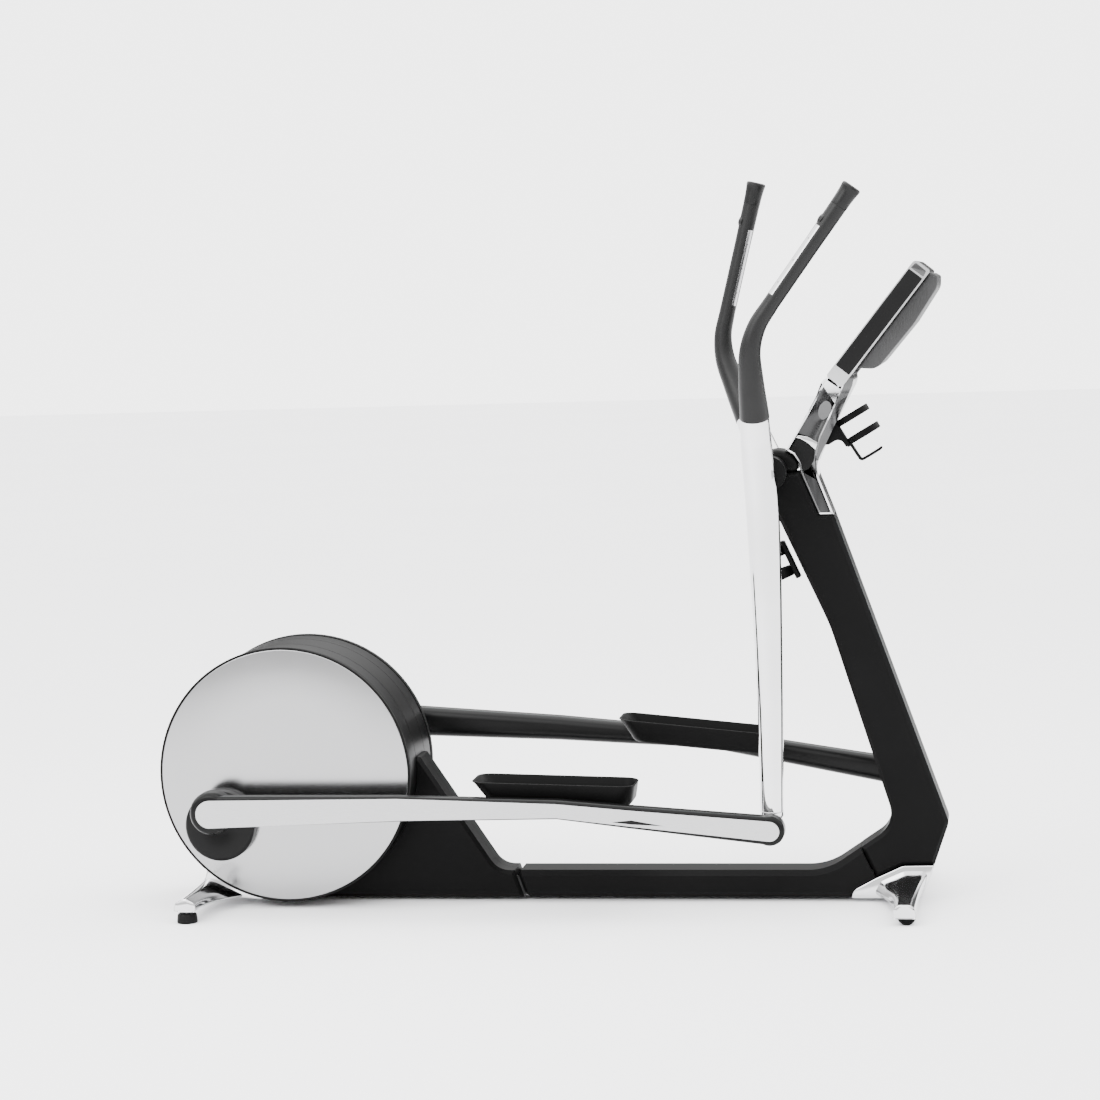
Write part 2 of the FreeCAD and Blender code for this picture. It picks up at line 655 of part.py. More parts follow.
def makeStrip(word, side):
    """The bright strip on the arm's outer face."""
    label = "arm_strip_" + word
    outer, thick, length = size("arm_outer") + 0.05, size("strip_thickness"), size("arm_length")
    shy = 0.4
    stations = [(0.0, 0.0, size("strip_rear_half") - shy, 0.0), (430.0, 24.2, 24.5, 0.0),
                (size("arm_kink"), 32.2, size("strip_kink_half"), 0.0),
                (size("tray_end") + 2, 20.7, 17.7, 0.0),
                (length, 0.0, size("strip_front_half") - shy, size("arm_turn_in"))]
    bar = ruledBar(label, stations, side, outer, outer + thick, 0.0)
    rear = localCylinder(label + "_rear", "dims.strip_rear_half", "dims.strip_thickness", 0, 0,
                         sideBase(side, outer, outer + thick))
    turnIn = size("arm_turn_in")
    lean = size("strip_front_half") * turnIn / (length - size("tray_end") - 2)
    low = outer - turnIn + lean
    front = localCylinder(label + "_front", "dims.strip_front_half", "dims.strip_thickness", length, 0,
                          sideBase(side, low, low + thick))
    strip = fuse(label, bar, rear, front)
    strip.Placement = armPlacement(word)
    keep(strip, label)


def makeTray(word, side):
    """An open pedal tray on the inner face of the arm."""
    label = "pedal_" + word
    start, end, rim = size("tray_start"), size("tray_end"), size("tray_rim")
    low = rim - size("tray_height")
    wall, floor = size("tray_wall"), size("tray_floor")
    outline = [(start + 40, low, 20), (end - 6, low, 14), (end, rim - 4, 10), (start + 14, rim + 2, 30), (start, low + 24, 6)]
    inner = [(start + 44, low + floor, 16), (end - 6 - wall, low + floor, 10), (end - wall, rim + 20),
             (start + 22 + wall, rim + 20), (start + wall + 6, low + 30, 4)]
    y0, y1 = sidePlane(side, "dims.tray_inner", "dims.arm_inner")
    shell = slab(label, outline, y0, y1)
    shell = bevel(label, shell, 6, lambda p: abs(abs(p.y) - size("tray_inner")) < 0.01, "Part::Fillet")
    y0, y1 = sidePlane(side, "dims.tray_inner + dims.tray_wall", "dims.arm_inner - dims.tray_wall")
    tray = cut(label, shell, slab(label + "_space", inner, y0, y1))
    tray.Placement = armPlacement(word)
    keep(tray, label)


# ---------------------------------------------------------------- swinging levers

def leverPlacement(word):
    _, _, leverAngle, _ = rest[word]
    return Placement(at(size("pivot_x"), size("pivot_z")), Rotation(Vector(0, -1, 0), leverAngle))


def leverLine():
    """Stations of the lever tube and of the sleeve, from the pivot: (x, distance from centre plane, z, radius)."""
    low, high = size("lever_plane"), size("grip_plane")
    joint = (-24.6, low + 33, size("sleeve_joint"), 32.0)
    tube = [(0.4, low, -size("lever_length") + 26, 26.0), (-1.1, low, -473.0, 29.0), (-11.7, low, -100.2, 36.0),
            (-22.8, low + 14, 59.7, 34.0), joint]
    bend = (18.3, high, 370.3, size("grip_radius"))
    sleeve = [joint, (-28.6, high - 17, 209.7, 27.0), (-28.4, high - 3, 269.7, 23.0), (-13.0, high, 321.9, 20.0), bend]
    return smoothed(tube, 4), smoothed(sleeve, 4)


def smoothed(line, steps):
    """The same line with extra stations on a smooth curve through the given ones."""
    points = [Vector(x, y, z) for x, y, z, _ in line]
    lengths = [0.0]
    for i in range(1, len(points)):
        lengths.append(lengths[-1] + (points[i] - points[i - 1]).Length)
    slopes = []
    for i in range(len(line)):
        before, after = max(i - 1, 0), min(i + 1, len(line) - 1)
        run = lengths[after] - lengths[before]
        slopes.append([(line[after][k] - line[before][k]) / run for k in range(4)])
    finer = []
    for i in range(len(line) - 1):
        run = lengths[i + 1] - lengths[i]
        for step in range(steps):
            t = step / steps
            h = (2 * t ** 3 - 3 * t ** 2 + 1, t ** 3 - 2 * t ** 2 + t, 3 * t ** 2 - 2 * t ** 3, t ** 3 - t ** 2)
            finer.append(tuple(h[0] * line[i][k] + h[1] * run * slopes[i][k] + h[2] * line[i + 1][k]
                               + h[3] * run * slopes[i + 1][k] for k in range(4)))
    return finer + [line[-1]]


def headings(points, first, last):
    """Directions along a line of points, with given directions at its two ends."""
    found = [first]
    for i in range(1, len(points) - 1):
        found.append((points[i + 1] - points[i - 1]).normalize())
    found.append(last)
    return found


gripHeading = Vector(size("cap_joint_x") - 18.3, 0, size("cap_joint_z") - 370.3).normalize()


def capJoint(side):
    return Vector(size("cap_joint_x"), side * size("grip_plane"), size("cap_joint_z"))


def barThrough(name, line, side, first, last):
    points = [Vector(x, side * y, z) for x, y, z, _ in line]
    ways = headings(points, first, last)
    return roundLoft(name, [(points[i], ways[i], line[i][3]) for i in range(len(line))])


def makeLever(word, side):
    tube, sleeve = leverLine()
    label = "lever_tube_" + word
    joinWay = Vector(-0.03, side * 0.36, 0.93).normalize()
    bar = barThrough(label, tube, side, Vector(0, 0, 1), joinWay)
    hubStart, plane = size("lever_hub_start"), size("lever_plane")
    hub = localCylinder(label + "_hub", "dims.lever_hub_radius", "dims.lever_plane - dims.lever_hub_start", 0, 0,
                        sideBase(side, hubStart, plane))
    bore = localCylinder(label + "_bore", "dims.lever_axle_radius + dims.running_gap",
                         "dims.axle_reach - dims.lever_hub_start + 2", 0, 0,
                         sideBase(side, hubStart - 1, size("axle_reach") + 1))
    tubePart = cut(label, fuse(label, bar, hub), bore)
    tubePart.Placement = leverPlacement(word)
    keep(tubePart, label)
    makeLeverEnd(word, side)
    label = "grip_sleeve_" + word
    bent = barThrough(label, sleeve, side, joinWay, gripHeading)
    bendX, _, bendZ, _ = sleeve[-1]
    bend = Vector(bendX, side * size("grip_plane"), bendZ)
    straight = doc.addObject("Part::Cylinder", label + "_straight")
    bind(straight, "Radius", "dims.grip_radius")
    straight.Height = (capJoint(side) - bend).Length
    straight.Placement = Placement(bend, Rotation(Vector(0, 0, 1), gripHeading))
    pocket = buttonBlock(label + "_pocket", side, "dims.button_radius + 0.3", size("button_travel") + 0.5,
                         "dims.button_height + dims.button_travel + 5")
    sleevePart = fuse(label, bent, cut(label, straight, pocket, *sensorBlocks(label + "_seat", side)))
    sleevePart.Placement = leverPlacement(word)
    keep(sleevePart, label)
    label = "grip_cap_" + word
    start, length = capJoint(side), size("cap_length")
    cap = roundLoft(label, [(start, gripHeading, 19.0), (start + gripHeading * (length * 0.45), gripHeading, 19.6),
                            (start + gripHeading * length, gripHeading, size("cap_radius"))])
    cap = bevel(label, cap, 3, lambda p: (p - start).dot(gripHeading) > length - 1, "Part::Fillet")
    cap.Placement = leverPlacement(word)
    keep(cap, label)
    label = "hand_sensor_" + word
    sensors = group(label, *sensorBlocks(label, side))
    sensors.Placement = leverPlacement(word)
    keep(sensors, label)
    label = "grip_button_" + word
    button = buttonBlock(label, side, "dims.button_radius", 0.0, "dims.button_height")
    button.Placement = leverPlacement(word).multiply(button.Placement)
    keep(button, label)


def buttonPlace(side):
    """The middle of the hand button, on the rear of the grip below its cap."""
    return capJoint(side) - gripHeading * 42


def buttonWay():
    return Vector(-gripHeading.z, 0, gripHeading.x)


def buttonBlock(name, side, radius, below, height):
    """A round block square to the grip, its foot at a depth below the button's own foot."""
    rod = doc.addObject("Part::Cylinder", name)
    bind(rod, "Radius", radius)
    bind(rod, "Height", height)
    foot = size("grip_radius") + 3.0 - size("button_height") - below
    rod.Placement = Placement(buttonPlace(side) + buttonWay() * foot, Rotation(Vector(0, 0, 1), buttonWay()))
    return rod


def sensorBlocks(name, side):
    """Two contact plates: one outside and behind the grip, one inside and in front of it."""
    middle = capJoint(side) - gripHeading * size("sensor_drop")
    plates = []
    for index, lean in enumerate((1, -1)):
        outward = (Vector(0, side * lean, 0) + buttonWay() * lean).normalize()
        turn = Rotation(outward, gripHeading.cross(outward), gripHeading, "ZXY")
        plate = doc.addObject("Part::Box", "%s_%d" % (name, index))
        bind(plate, "Length", "dims.sensor_depth")
        bind(plate, "Width", "dims.sensor_width")
        bind(plate, "Height", "dims.sensor_length")
        corner = Vector(size("grip_radius") - 2.0, -size("sensor_width") / 2, -size("sensor_length") / 2)
        plate.Placement = Placement(middle + turn.multVec(corner), turn)
        plates.append(plate)
    return plates


def makeLeverEnd(word, side):
    """The barrel at the foot of the lever with the pin that carries the arm."""
    label = "lever_end_" + word
    plane, turnIn = size("lever_plane"), size("arm_turn_in")
    end = -size("lever_length")
    stop = size("arm_inner") - turnIn - size("side_gap")
    barrel = localCylinder(label + "_barrel", "27", str(stop - plane + 26), 0, end, sideBase(side, plane - 26, stop))
    tip = size("arm_inner") - turnIn + size("arm_pin_depth") - 2
    pin = localCylinder(label + "_pin", "dims.arm_pin_radius", str(tip - plane), 0, end, sideBase(side, plane, tip))
    above = doc.addObject("Part::Box", label + "_above")
    above.Length, above.Width, above.Height = 120, 120, 60
    above.Placement.Base = Vector(-60, side * plane - 60, end + 26)
    part = fuse(label, cut(label + "_barrel", barrel, above), pin)
    part.Placement = leverPlacement(word)
    keep(part, label)


def makeLeverAxle():
    reach = size("axle_reach")
    keep(cylinder("lever_axle_rod", "dims.lever_axle_radius", "2 * dims.axle_reach",
                  at(size("pivot_x"), size("pivot_z"), -reach)), "lever_axle")
    covers = []
    for word, side in sides.items():
        start, end = size("frame_width") / 2, size("lever_hub_start") - size("side_gap")
        outer = cylinder("axle_cover_" + word, "dims.axle_cover_radius",
                         "dims.lever_hub_start - dims.side_gap - dims.frame_width / 2",
                         at(size("pivot_x"), size("pivot_z"), sideBase(side, start, end)))
        hole = cylinder("axle_cover_hole_" + word, "dims.lever_axle_radius", "200",
                        at(size("pivot_x"), size("pivot_z"), sideBase(side, start - 60, start + 140)))
        covers.append(cut("axle_cover_" + word, outer, hole))
    keep(group("axle_covers", *covers), "axle_covers")


# ---------------------------------------------------------------- stem and console

def consolePoint(along, deep, radius=0):
    """A corner of the console's side view: along its face, behind its face, and its rounding."""
    ux, uz = turned(1, 0, size("console_slope"))
    return size("console_x") + ux * along + uz * deep, size("console_z") + uz * along - ux * deep, radius


def stemOutline():
    under = consolePoint(30, size("console_depth") + 0.5)
    start = consolePoint(-0.5, 0)
    low = consolePoint(-0.5, size("console_depth") + 0.5)
    return [(1213.6, 866.6), (1246, 866.6), (1206, 972, 70), (1299, 1158, 40), under, low, start,
            (1143, 1011), (1159.5, 1001), (1172, 981), (1174.5, 961.5)]


def makeStem():
    width = size("stem_width") / 2
    block = slab("stem", shifted(stemOutline()), "-dims.stem_top_width / 2", "dims.stem_top_width / 2")
    top = size("stem_top_width") / 2
    across = doc.addObject("Sketcher::SketchObject", "stem_front_view")
    view = [(-width, 800), (width, 800), (width, 1075, 60), (top, 1168), (top, 1300), (-top, 1300), (-top, 1168),
            (-width, 1075, 60)]
    for edge in loopEdges(view):
        across.addGeometry(edge, False)
    across.Placement = Placement(at(0, 0), Rotation(Vector(1, 1, 1), 120))
    flare = doc.addObject("Part::Extrusion", "stem_flare")
    flare.Base = across
    flare.DirMode = "Custom"
    flare.Dir = Vector(1, 0, 0)
    flare.Solid = True
    flare.LengthFwd = 1700
    keep(common("stem", block, flare), "stem")


def makeConsole():
    depth, length = size("console_depth"), size("console_length")
    edge = [consolePoint(0, 0, 6), consolePoint(length, 0, 10), consolePoint(length, depth, 6),
            consolePoint(0, depth, 6)]
    block = slab("console_frame", shifted(edge), "-dims.console_half", "dims.console_half")
    inner = [consolePoint(14, 8), consolePoint(length - 14, 8), consolePoint(length - 14, depth + 5),
             consolePoint(14, depth + 5)]
    space = slab("console_space", shifted(inner), "10 - dims.console_half", "dims.console_half - 10")
    margin, thick = size("screen_margin"), size("screen_thickness")
    seat = [consolePoint(margin, -5), consolePoint(length - margin, -5), consolePoint(length - margin, thick),
            consolePoint(margin, thick)]
    recess = slab("screen_recess", shifted(seat), "dims.screen_margin - dims.console_half",
                  "dims.console_half - dims.screen_margin")
    pockets = [consolePoint(margin + 16, 7), consolePoint(length - 14, 7), consolePoint(length - 14, depth - 5),
               consolePoint(margin + 16, depth - 5)]
    tools, plates = [], []
    for word, side in sides.items():
        low, high = sidePlane(side, "dims.console_half - 3", "dims.console_half + 5")
        tools.append(slab("console_pocket_" + word, shifted(pockets), low, high))
        low, high = sidePlane(side, "dims.console_half - 3", "dims.console_half - 0.5")
        plates.append(slab("console_plate_" + word, shifted(pockets), low, high))
    keep(cut("console_frame", block, space, recess, *tools), "console_frame")
    keep(group("console_side_panels", *plates), "console_side_panels")
    pane = [consolePoint(margin + 0.5, 0.5), consolePoint(length - margin - 0.5, 0.5),
            consolePoint(length - margin - 0.5, thick), consolePoint(margin + 0.5, thick)]
    keep(slab("screen", shifted(pane), "dims.screen_margin + 0.5 - dims.console_half",
              "dims.console_half - dims.screen_margin - 0.5"), "screen")
    rear = size("rear_shell_depth")
    outline = [consolePoint(52, depth + 0.3), consolePoint(length - 2, depth + 0.3), consolePoint(length, depth + 17),
               consolePoint(length - 20, depth + rear - 8, 30), consolePoint(200, depth + rear, 100),
               consolePoint(76, depth + rear - 4, 30)]
    body = slab("console_rear_shell", shifted(outline), "15 - dims.console_half", "dims.console_half - 15")
    spaceLine = [consolePoint(62, depth - 1), consolePoint(length - 8, depth - 1), consolePoint(length - 26, depth + rear - 14),
                 consolePoint(200, depth + rear - 5), consolePoint(82, depth + rear - 11)]
    hollow = slab("console_rear_space", shifted(spaceLine), "19 - dims.console_half", "dims.console_half - 19")
    keep(cut("console_rear_shell", body, hollow), "console_rear_shell")


# ---------------------------------------------------------------- bottle and towel holders

def bandRing(name, centre, axis, height):
    """One open band of a bottle holder."""
    outer = doc.addObject("Part::Cylinder", name + "_outer")
    bind(outer, "Radius", "dims.bottle_radius + dims.holder_band")
    inner = doc.addObject("Part::Cylinder", name + "_inner")
    bind(inner, "Radius", "dims.bottle_radius")
    for rod in (outer, inner):
        rod.Height = height
        rod.Placement = Placement(centre, Rotation(Vector(0, 0, 1), axis))
    return cut(name, outer, inner)


def makeHolders():
    reach = size("bottle_radius") + size("holder_band")
    slope = 30.0
    out = Vector(*[turned(1, 0, slope)[0], 0, turned(1, 0, slope)[1]])
    up = Vector(-out.z, 0, out.x)
    anchor = at(1243, 1065)
    bands = []
    for index, drop in enumerate((15.5, 61.5)):
        bands.append(bandRing("front_band%d" % index, anchor - up * drop + out * (9 + reach), up, 14.5))
    plate = doc.addObject("Part::Box", "front_holder_plate")
    plate.Length, plate.Width, plate.Height = 11, 34, 64
    plate.Placement = Placement(anchor - up * 63 + out * 2 + Vector(0, -17, 0), Rotation(Vector(0, 1, 0), -slope))
    arm = slab("front_holder_arm", shifted([(1222.5, 1018), (1231, 1018), (1268, 1052), (1246, 1060)]), "-14", "14")
    wire = []
    for along, down in ((13, 61), (13, 103), (64, 103), (64, 99), (17, 99), (17, 61)):
        spot = anchor + out * along - up * down
        wire.append((spot.x, spot.z))
    stop = slab("front_holder_stop", wire, "-8", "8")
    seat = slab("front_holder_seat", shifted(stemOutline()), "-60", "60")
    keep(cut("front_holder_seated", fuse("front_holder", plate, arm, stop, *bands), seat), "front_holder")
    rings = []
    for index, height in enumerate((738.0, 784.0)):
        lean = Vector(-0.36, 0, 0.93).normalize()
        centre = at(1118 - (height - 738) * 0.38, height - 20)
        rings.append(bandRing("rear_band%d" % index, centre, lean, 22))
    spine = slab("rear_holder_spine", shifted([(1158, 722), (1168, 726), (1132, 806), (1120, 806)]), "-16", "16")
    keep(fuse("rear_holder", spine, *rings), "rear_holder")


# ---------------------------------------------------------------- feet

def footArm(name, side, root, tip, rootY, tipY):
    """A foot arm that narrows from its root outline to its tip outline."""
    sections = []
    for index, (outline, y) in enumerate(((root, rootY), (tip, tipY))):
        sketch = sideSketch("%s_end%d" % (name, index), shifted(outline))
        sketch.Placement.Base = Vector(0, side * y, 0)
        sections.append(sketch)
    loft = doc.addObject("Part::Loft", name + "_loft")
    loft.Sections = sections
    loft.Solid = True
    loft.Ruled = True
    return loft


def makeRearFoot():
    drum = cylinder("rear_foot_drum", "dims.drum_radius + 1", "400", at(0, crankZ, -200))
    saddle = slab("rear_foot_saddle", shifted([(-69, 12), (-222, 26, 6), (-220, 48, 10), (-200, 62, 10),
                                              (-189, 84), (-150, 90), (-60, 40)]), "-112", "112")
    block = cut("rear_foot_saddle", saddle, drum)
    x, half = size("rear_bar_x"), size("bar_half")
    arms = []
    for word, side in sides.items():
        root = [(x + 60, 14), (x - half, 26), (x - half, 56), (x + 25, 50)]
        tip = [(x + half, size("pad_height") + 4), (x - half, size("pad_height") + 4), (x - half, 56), (x + half, 54)]
        arms.append(footArm("rear_foot_arm_" + word, side, root, tip, 100, size("foot_half_span")))
    pads, studs = [], []
    for word, side in sides.items():
        pad = cylinder("rear_pad_" + word, "dims.pad_radius", "dims.pad_height",
                       at(x, 0, side * size("pad_plane")), Vector(0, 0, 1))
        pads.append(bevel("rear_pad_" + word, pad, 3, lambda p: True, "Part::Fillet"))
        studs.append(cylinder("pad_stud_" + word, "6", "10", at(x, size("pad_height"), side * size("pad_plane")),
                              Vector(0, 0, 1)))
    keep(cut("rear_foot", fuse("rear_foot", block, *arms), *studs), "rear_foot")
    keep(group("rear_pads", *pads), "rear_pads")
    keep(group("pad_studs", *studs), "pad_studs")


def makeFrontFoot():
    x, half = size("front_bar_x"), size("bar_half")
    block = slab("front_foot_block", shifted([(1267, size("floor_gap")), (1270, 22), (1277, 30), (1320, 53.4),
                                             (1382, 82), (1452, 83), (1436, 40), (1420, size("floor_gap"))]),
                 "-dims.frame_width / 2 - 6", "dims.frame_width / 2 + 6")
    beam = box("front_foot_beam_space", "200", "85", "43", at(1200, 14, -42.5))
    block = cut("front_foot_block", block, beam)
    arms, wheels, axles = [], [], []
    reach = size("foot_half_span")
    for word, side in sides.items():
        root = [(1290, 10), (1440, 10), (1450, 80), (1384, 80)]
        tip = [(x - half, 14), (x + half, 14), (x + half, 44), (x - half, 44)]
        arms.append(footArm("front_foot_arm_" + word, side, root, tip, size("frame_width") / 2, reach))
        low = sideBase(side, size("pad_plane") - 13, size("pad_plane") + 13)
        well = cylinder("roller_well_" + word, "dims.roller_radius + 2", "dims.roller_width + 2",
                        at(x + 4, size("roller_radius"), low))
        wheels.append(well)
        low = sideBase(side, size("pad_plane") - 12, size("pad_plane") + 12)
        tyre = cylinder("roller_tyre_" + word, "dims.roller_radius", "dims.roller_width",
                        at(x + 4, size("roller_radius"), low))
        bore = cylinder("roller_bore_" + word, "dims.roller_axle_radius + dims.running_gap", "40",
                        at(x + 4, size("roller_radius"), low - 8))
        keep(cut("transport_roller_" + word, tyre, bore), "transport_roller_" + word)
        low = sideBase(side, size("pad_plane") - 18, size("pad_plane") + 18)
        axles.append(cylinder("roller_axle_" + word, "dims.roller_axle_radius", "36",
                              at(x + 4, size("roller_radius"), low)))
    body = cut("front_foot", fuse("front_foot", block, *arms), *wheels)
    holes = [cylinder("roller_axle_hole_" + word, "dims.roller_axle_radius", "36",
                      at(x + 4, size("roller_radius"), sideBase(side, size("pad_plane") - 18, size("pad_plane") + 18)))
             for word, side in sides.items()]
    keep(cut("front_foot_drilled", body, *holes), "front_foot")
    keep(group("roller_axles", *axles), "roller_axles")


# ---------------------------------------------------------------- build, check and write

makeBeam()
makeRearPanels()
makeColumn()
makeAxleCap()
makeDrum()
makeDriveSupports()
makeBelt()
makeCrankset()
makeFlywheel()
for sideWord, sideSign in sides.items():
    makeArm(sideWord, sideSign)
    makeLever(sideWord, sideSign)
makeLeverAxle()
makeStem()
makeConsole()
makeHolders()
makeRearFoot()
makeFrontFoot()

doc.recompute()
failed = [item.Name for item in doc.Objects if "Invalid" in item.State or "Error" in item.State]
if failed:
    raise SystemExit("failed: " + ", ".join(failed))
for item in nodes:
    if item.Shape.isNull() or not item.Shape.isValid():
        raise SystemExit("bad shape: " + item.Label)

os.makedirs("parts", exist_ok=True)
whole = FreeCAD.BoundBox()
for item in nodes:
    item.Shape.exportStep("parts/%s.step" % item.Label)
    whole.add(item.Shape.BoundBox)
    print("%-24s solids %2d  volume %10.0f" % (item.Label, len(item.Shape.Solids), item.Shape.Volume))
print("box", [round(v, 1) for v in (whole.XMin, whole.XMax, whole.YMin, whole.YMax, whole.ZMin, whole.ZMax)])
for sideWord in sides:
    print(sideWord, "pin, lever end, lever angle, arm angle", rest[sideWord])
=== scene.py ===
import math

import bmesh
import bpy
from mathutils import Matrix, Vector


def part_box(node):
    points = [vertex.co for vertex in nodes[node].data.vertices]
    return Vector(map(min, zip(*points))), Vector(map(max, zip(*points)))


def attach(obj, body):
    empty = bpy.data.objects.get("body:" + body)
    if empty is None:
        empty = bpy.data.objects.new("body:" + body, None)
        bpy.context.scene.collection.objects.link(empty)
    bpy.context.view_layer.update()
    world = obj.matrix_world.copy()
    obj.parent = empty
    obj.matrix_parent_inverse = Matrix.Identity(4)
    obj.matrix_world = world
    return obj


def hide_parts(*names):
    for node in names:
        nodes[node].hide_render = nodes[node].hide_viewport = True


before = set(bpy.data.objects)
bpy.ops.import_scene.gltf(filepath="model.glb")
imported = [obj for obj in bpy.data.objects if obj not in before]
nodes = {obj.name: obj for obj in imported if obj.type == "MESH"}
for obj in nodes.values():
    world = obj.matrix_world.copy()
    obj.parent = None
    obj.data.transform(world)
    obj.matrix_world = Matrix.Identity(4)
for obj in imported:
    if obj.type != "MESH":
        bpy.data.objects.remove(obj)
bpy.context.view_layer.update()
scene = bpy.context.scene
mm = 0.001
sides = {"near": -1, "far": 1}

shaftLow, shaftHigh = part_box("crankshaft")
crankX = (shaftLow.x + shaftHigh.x) / 2
axleLow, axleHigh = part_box("lever_axle")
print("frame loaded:", len(nodes), "CAD pieces")


def at(x, y, z):
    # millimetres: x from the crank axis, y from the middle plane, z from the floor
    return Vector((crankX + x * mm, y * mm, z * mm))


def turned(x, z, degrees):
    a = math.radians(degrees)
    return x * math.cos(a) - z * math.sin(a), x * math.sin(a) + z * math.cos(a)


linkage = {"crankRadius": 164.1, "crankAngle": 205.6, "crankHeight": 306.0, "armLength": 1251.0,
           "leverLength": 773.0, "pivotX": 1112.0, "pivotZ": 966.0}


def linkageAt(pinDegrees):
    pinX, pinZ = turned(linkage["crankRadius"], 0, pinDegrees)
    pinZ += linkage["crankHeight"]
    dx, dz = linkage["pivotX"] - pinX, linkage["pivotZ"] - pinZ
    span = math.hypot(dx, dz)
    along = (linkage["armLength"] ** 2 - linkage["leverLength"] ** 2 + span ** 2) / (2 * span)
    off = math.sqrt(linkage["armLength"] ** 2 - along ** 2)
    endX, endZ = pinX + (along * dx + off * dz) / span, pinZ + (along * dz - off * dx) / span
    return {"pin": (pinX, pinZ), "end": (endX, endZ),
            "lever": math.atan2(endX - linkage["pivotX"], linkage["pivotZ"] - endZ),
            "arm": math.atan2(endZ - pinZ, endX - pinX)}


rest = {"near": linkageAt(linkage["crankAngle"]), "far": linkageAt(linkage["crankAngle"] + 180)}


def leverFrame(word):
    turn = Matrix.Rotation(-rest[word]["lever"], 4, "Y")
    return Matrix.Translation(at(linkage["pivotX"], 0, linkage["pivotZ"])) @ turn @ Matrix.Scale(mm, 4)


def armFrame(word):
    pinX, pinZ = rest[word]["pin"]
    turn = Matrix.Rotation(-rest[word]["arm"], 4, "Y")
    return Matrix.Translation(at(pinX, 0, pinZ)) @ turn @ Matrix.Scale(mm, 4)


machineFrame = Matrix.Translation(at(0, 0, 0)) @ Matrix.Scale(mm, 4)


def meshObject(name, points, faces, place=machineFrame, smooth=32.0):
    mesh = bpy.data.meshes.new(name)
    mesh.from_pydata([place @ Vector(p) for p in points], [], faces)
    obj = bpy.data.objects.new(name, mesh)
    scene.collection.objects.link(obj)
    tidied(obj, smooth)
    return obj


def tidied(obj, smooth=32.0):
    work = bmesh.new()
    work.from_mesh(obj.data)
    bmesh.ops.remove_doubles(work, verts=work.verts, dist=0.00002)
    bmesh.ops.recalc_face_normals(work, faces=work.faces)
    work.to_mesh(obj.data)
    work.free()
    obj.data.shade_smooth()
    obj.data.set_sharp_from_angle(angle=math.radians(smooth))


def settled(obj, smooth=32.0):
    # turns the modifiers into plain mesh
    graph = bpy.context.evaluated_depsgraph_get()
    mesh = bpy.data.meshes.new_from_object(obj.evaluated_get(graph))
    obj.modifiers.clear()
    obj.data = mesh
    obj.data.shade_smooth()
    obj.data.set_sharp_from_angle(angle=math.radians(smooth))
    return obj


def joined(name, *parts):
    work = bmesh.new()
    for part in parts:
        work.from_mesh(part.data)
    mesh = bpy.data.meshes.new(name)
    work.to_mesh(mesh)
    work.free()
    obj = bpy.data.objects.new(name, mesh)
    scene.collection.objects.link(obj)
    for part in parts:
        bpy.data.objects.remove(part)
    obj.data.shade_smooth()
    obj.data.set_sharp_from_angle(angle=math.radians(32))
    return obj


def ringsToMesh(name, rings, place=machineFrame, smooth=32.0, closed=False, capped=True):
    # skins a row of point loops; closed joins the last loop to the first
    count = len(rings[0])
    points = [p for ring in rings for p in ring]
    faces = []
    for r in range(len(rings) if closed else len(rings) - 1):
        low, high = r * count, ((r + 1) % len(rings)) * count
        for i in range(count):
            j = (i + 1) % count
            faces.append((low + i, low + j, high + j, high + i))
    if capped and not closed:
        faces.append(tuple(range(count))[::-1])
        faces.append(tuple((len(rings) - 1) * count + i for i in range(count)))
    return meshObject(name, points, faces, place, smooth)


def lathe(name, profile, centreX, centreZ, segments=192, place=machineFrame, closed=True, smooth=32.0):
    # profile points are (radius, y); a closed profile makes a ring, an open one starts and ends on the axis
    points, faces, count = [], [], len(profile)
    for s in range(segments):
        a = 2 * math.pi * s / segments
        for radius, y in profile:
            points.append((centreX + radius * math.cos(a), y, centreZ + radius * math.sin(a)))
    for s in range(segments):
        t = (s + 1) % segments
        for i in range(count if closed else count - 1):
            j = (i + 1) % count
            faces.append((s * count + i, s * count + j, t * count + j, t * count + i))
    return meshObject(name, points, faces, place, smooth)


def arcPoints(centreU, centreV, radius, start, end, steps):
    found = []
    for i in range(steps + 1):
        a = math.radians(start + (end - start) * i / steps)
        found.append((centreU + radius * math.cos(a), centreV + radius * math.sin(a)))
    return found


def roundedLoop(corners, steps=6):
    # corners are (u, v) or (u, v, radius)
    found, count = [], len(corners)
    for i, corner in enumerate(corners):
        here = Vector(corner[:2])
        if len(corner) < 3 or corner[2] <= 0:
            found.append(tuple(here))
            continue
        back = (Vector(corners[i - 1][:2]) - here).normalized()
        ahead = (Vector(corners[(i + 1) % count][:2]) - here).normalized()
        half = back.angle(ahead) / 2
        reach, bisector = corner[2] / math.tan(half), (back + ahead).normalized()
        centre = here + bisector * (corner[2] / math.sin(half))
        first, last = here + back * reach - centre, here + ahead * reach - centre
        sweep = first.angle_signed(last)
        for k in range(steps + 1):
            spot = first.copy()
            spot.rotate(Matrix.Rotation(-sweep * k / steps, 2))
            found.append(tuple(centre + spot))
    return found


def sidePlate(name, corners, lowY, highY, bevelWidth, place=machineFrame, steps=6, segments=3):
    loop = roundedLoop(corners, steps)
    obj = ringsToMesh(name, [[(x, y, z) for x, z in loop] for y in (lowY, highY)], place)
    if bevelWidth > 0:
        edge = obj.modifiers.new("edges", "BEVEL")
        edge.width = bevelWidth * mm
        edge.segments = segments
        edge.limit_method = "ANGLE"
        edge.angle_limit = math.radians(50)
        edge.harden_normals = False
        settled(obj)
    return obj


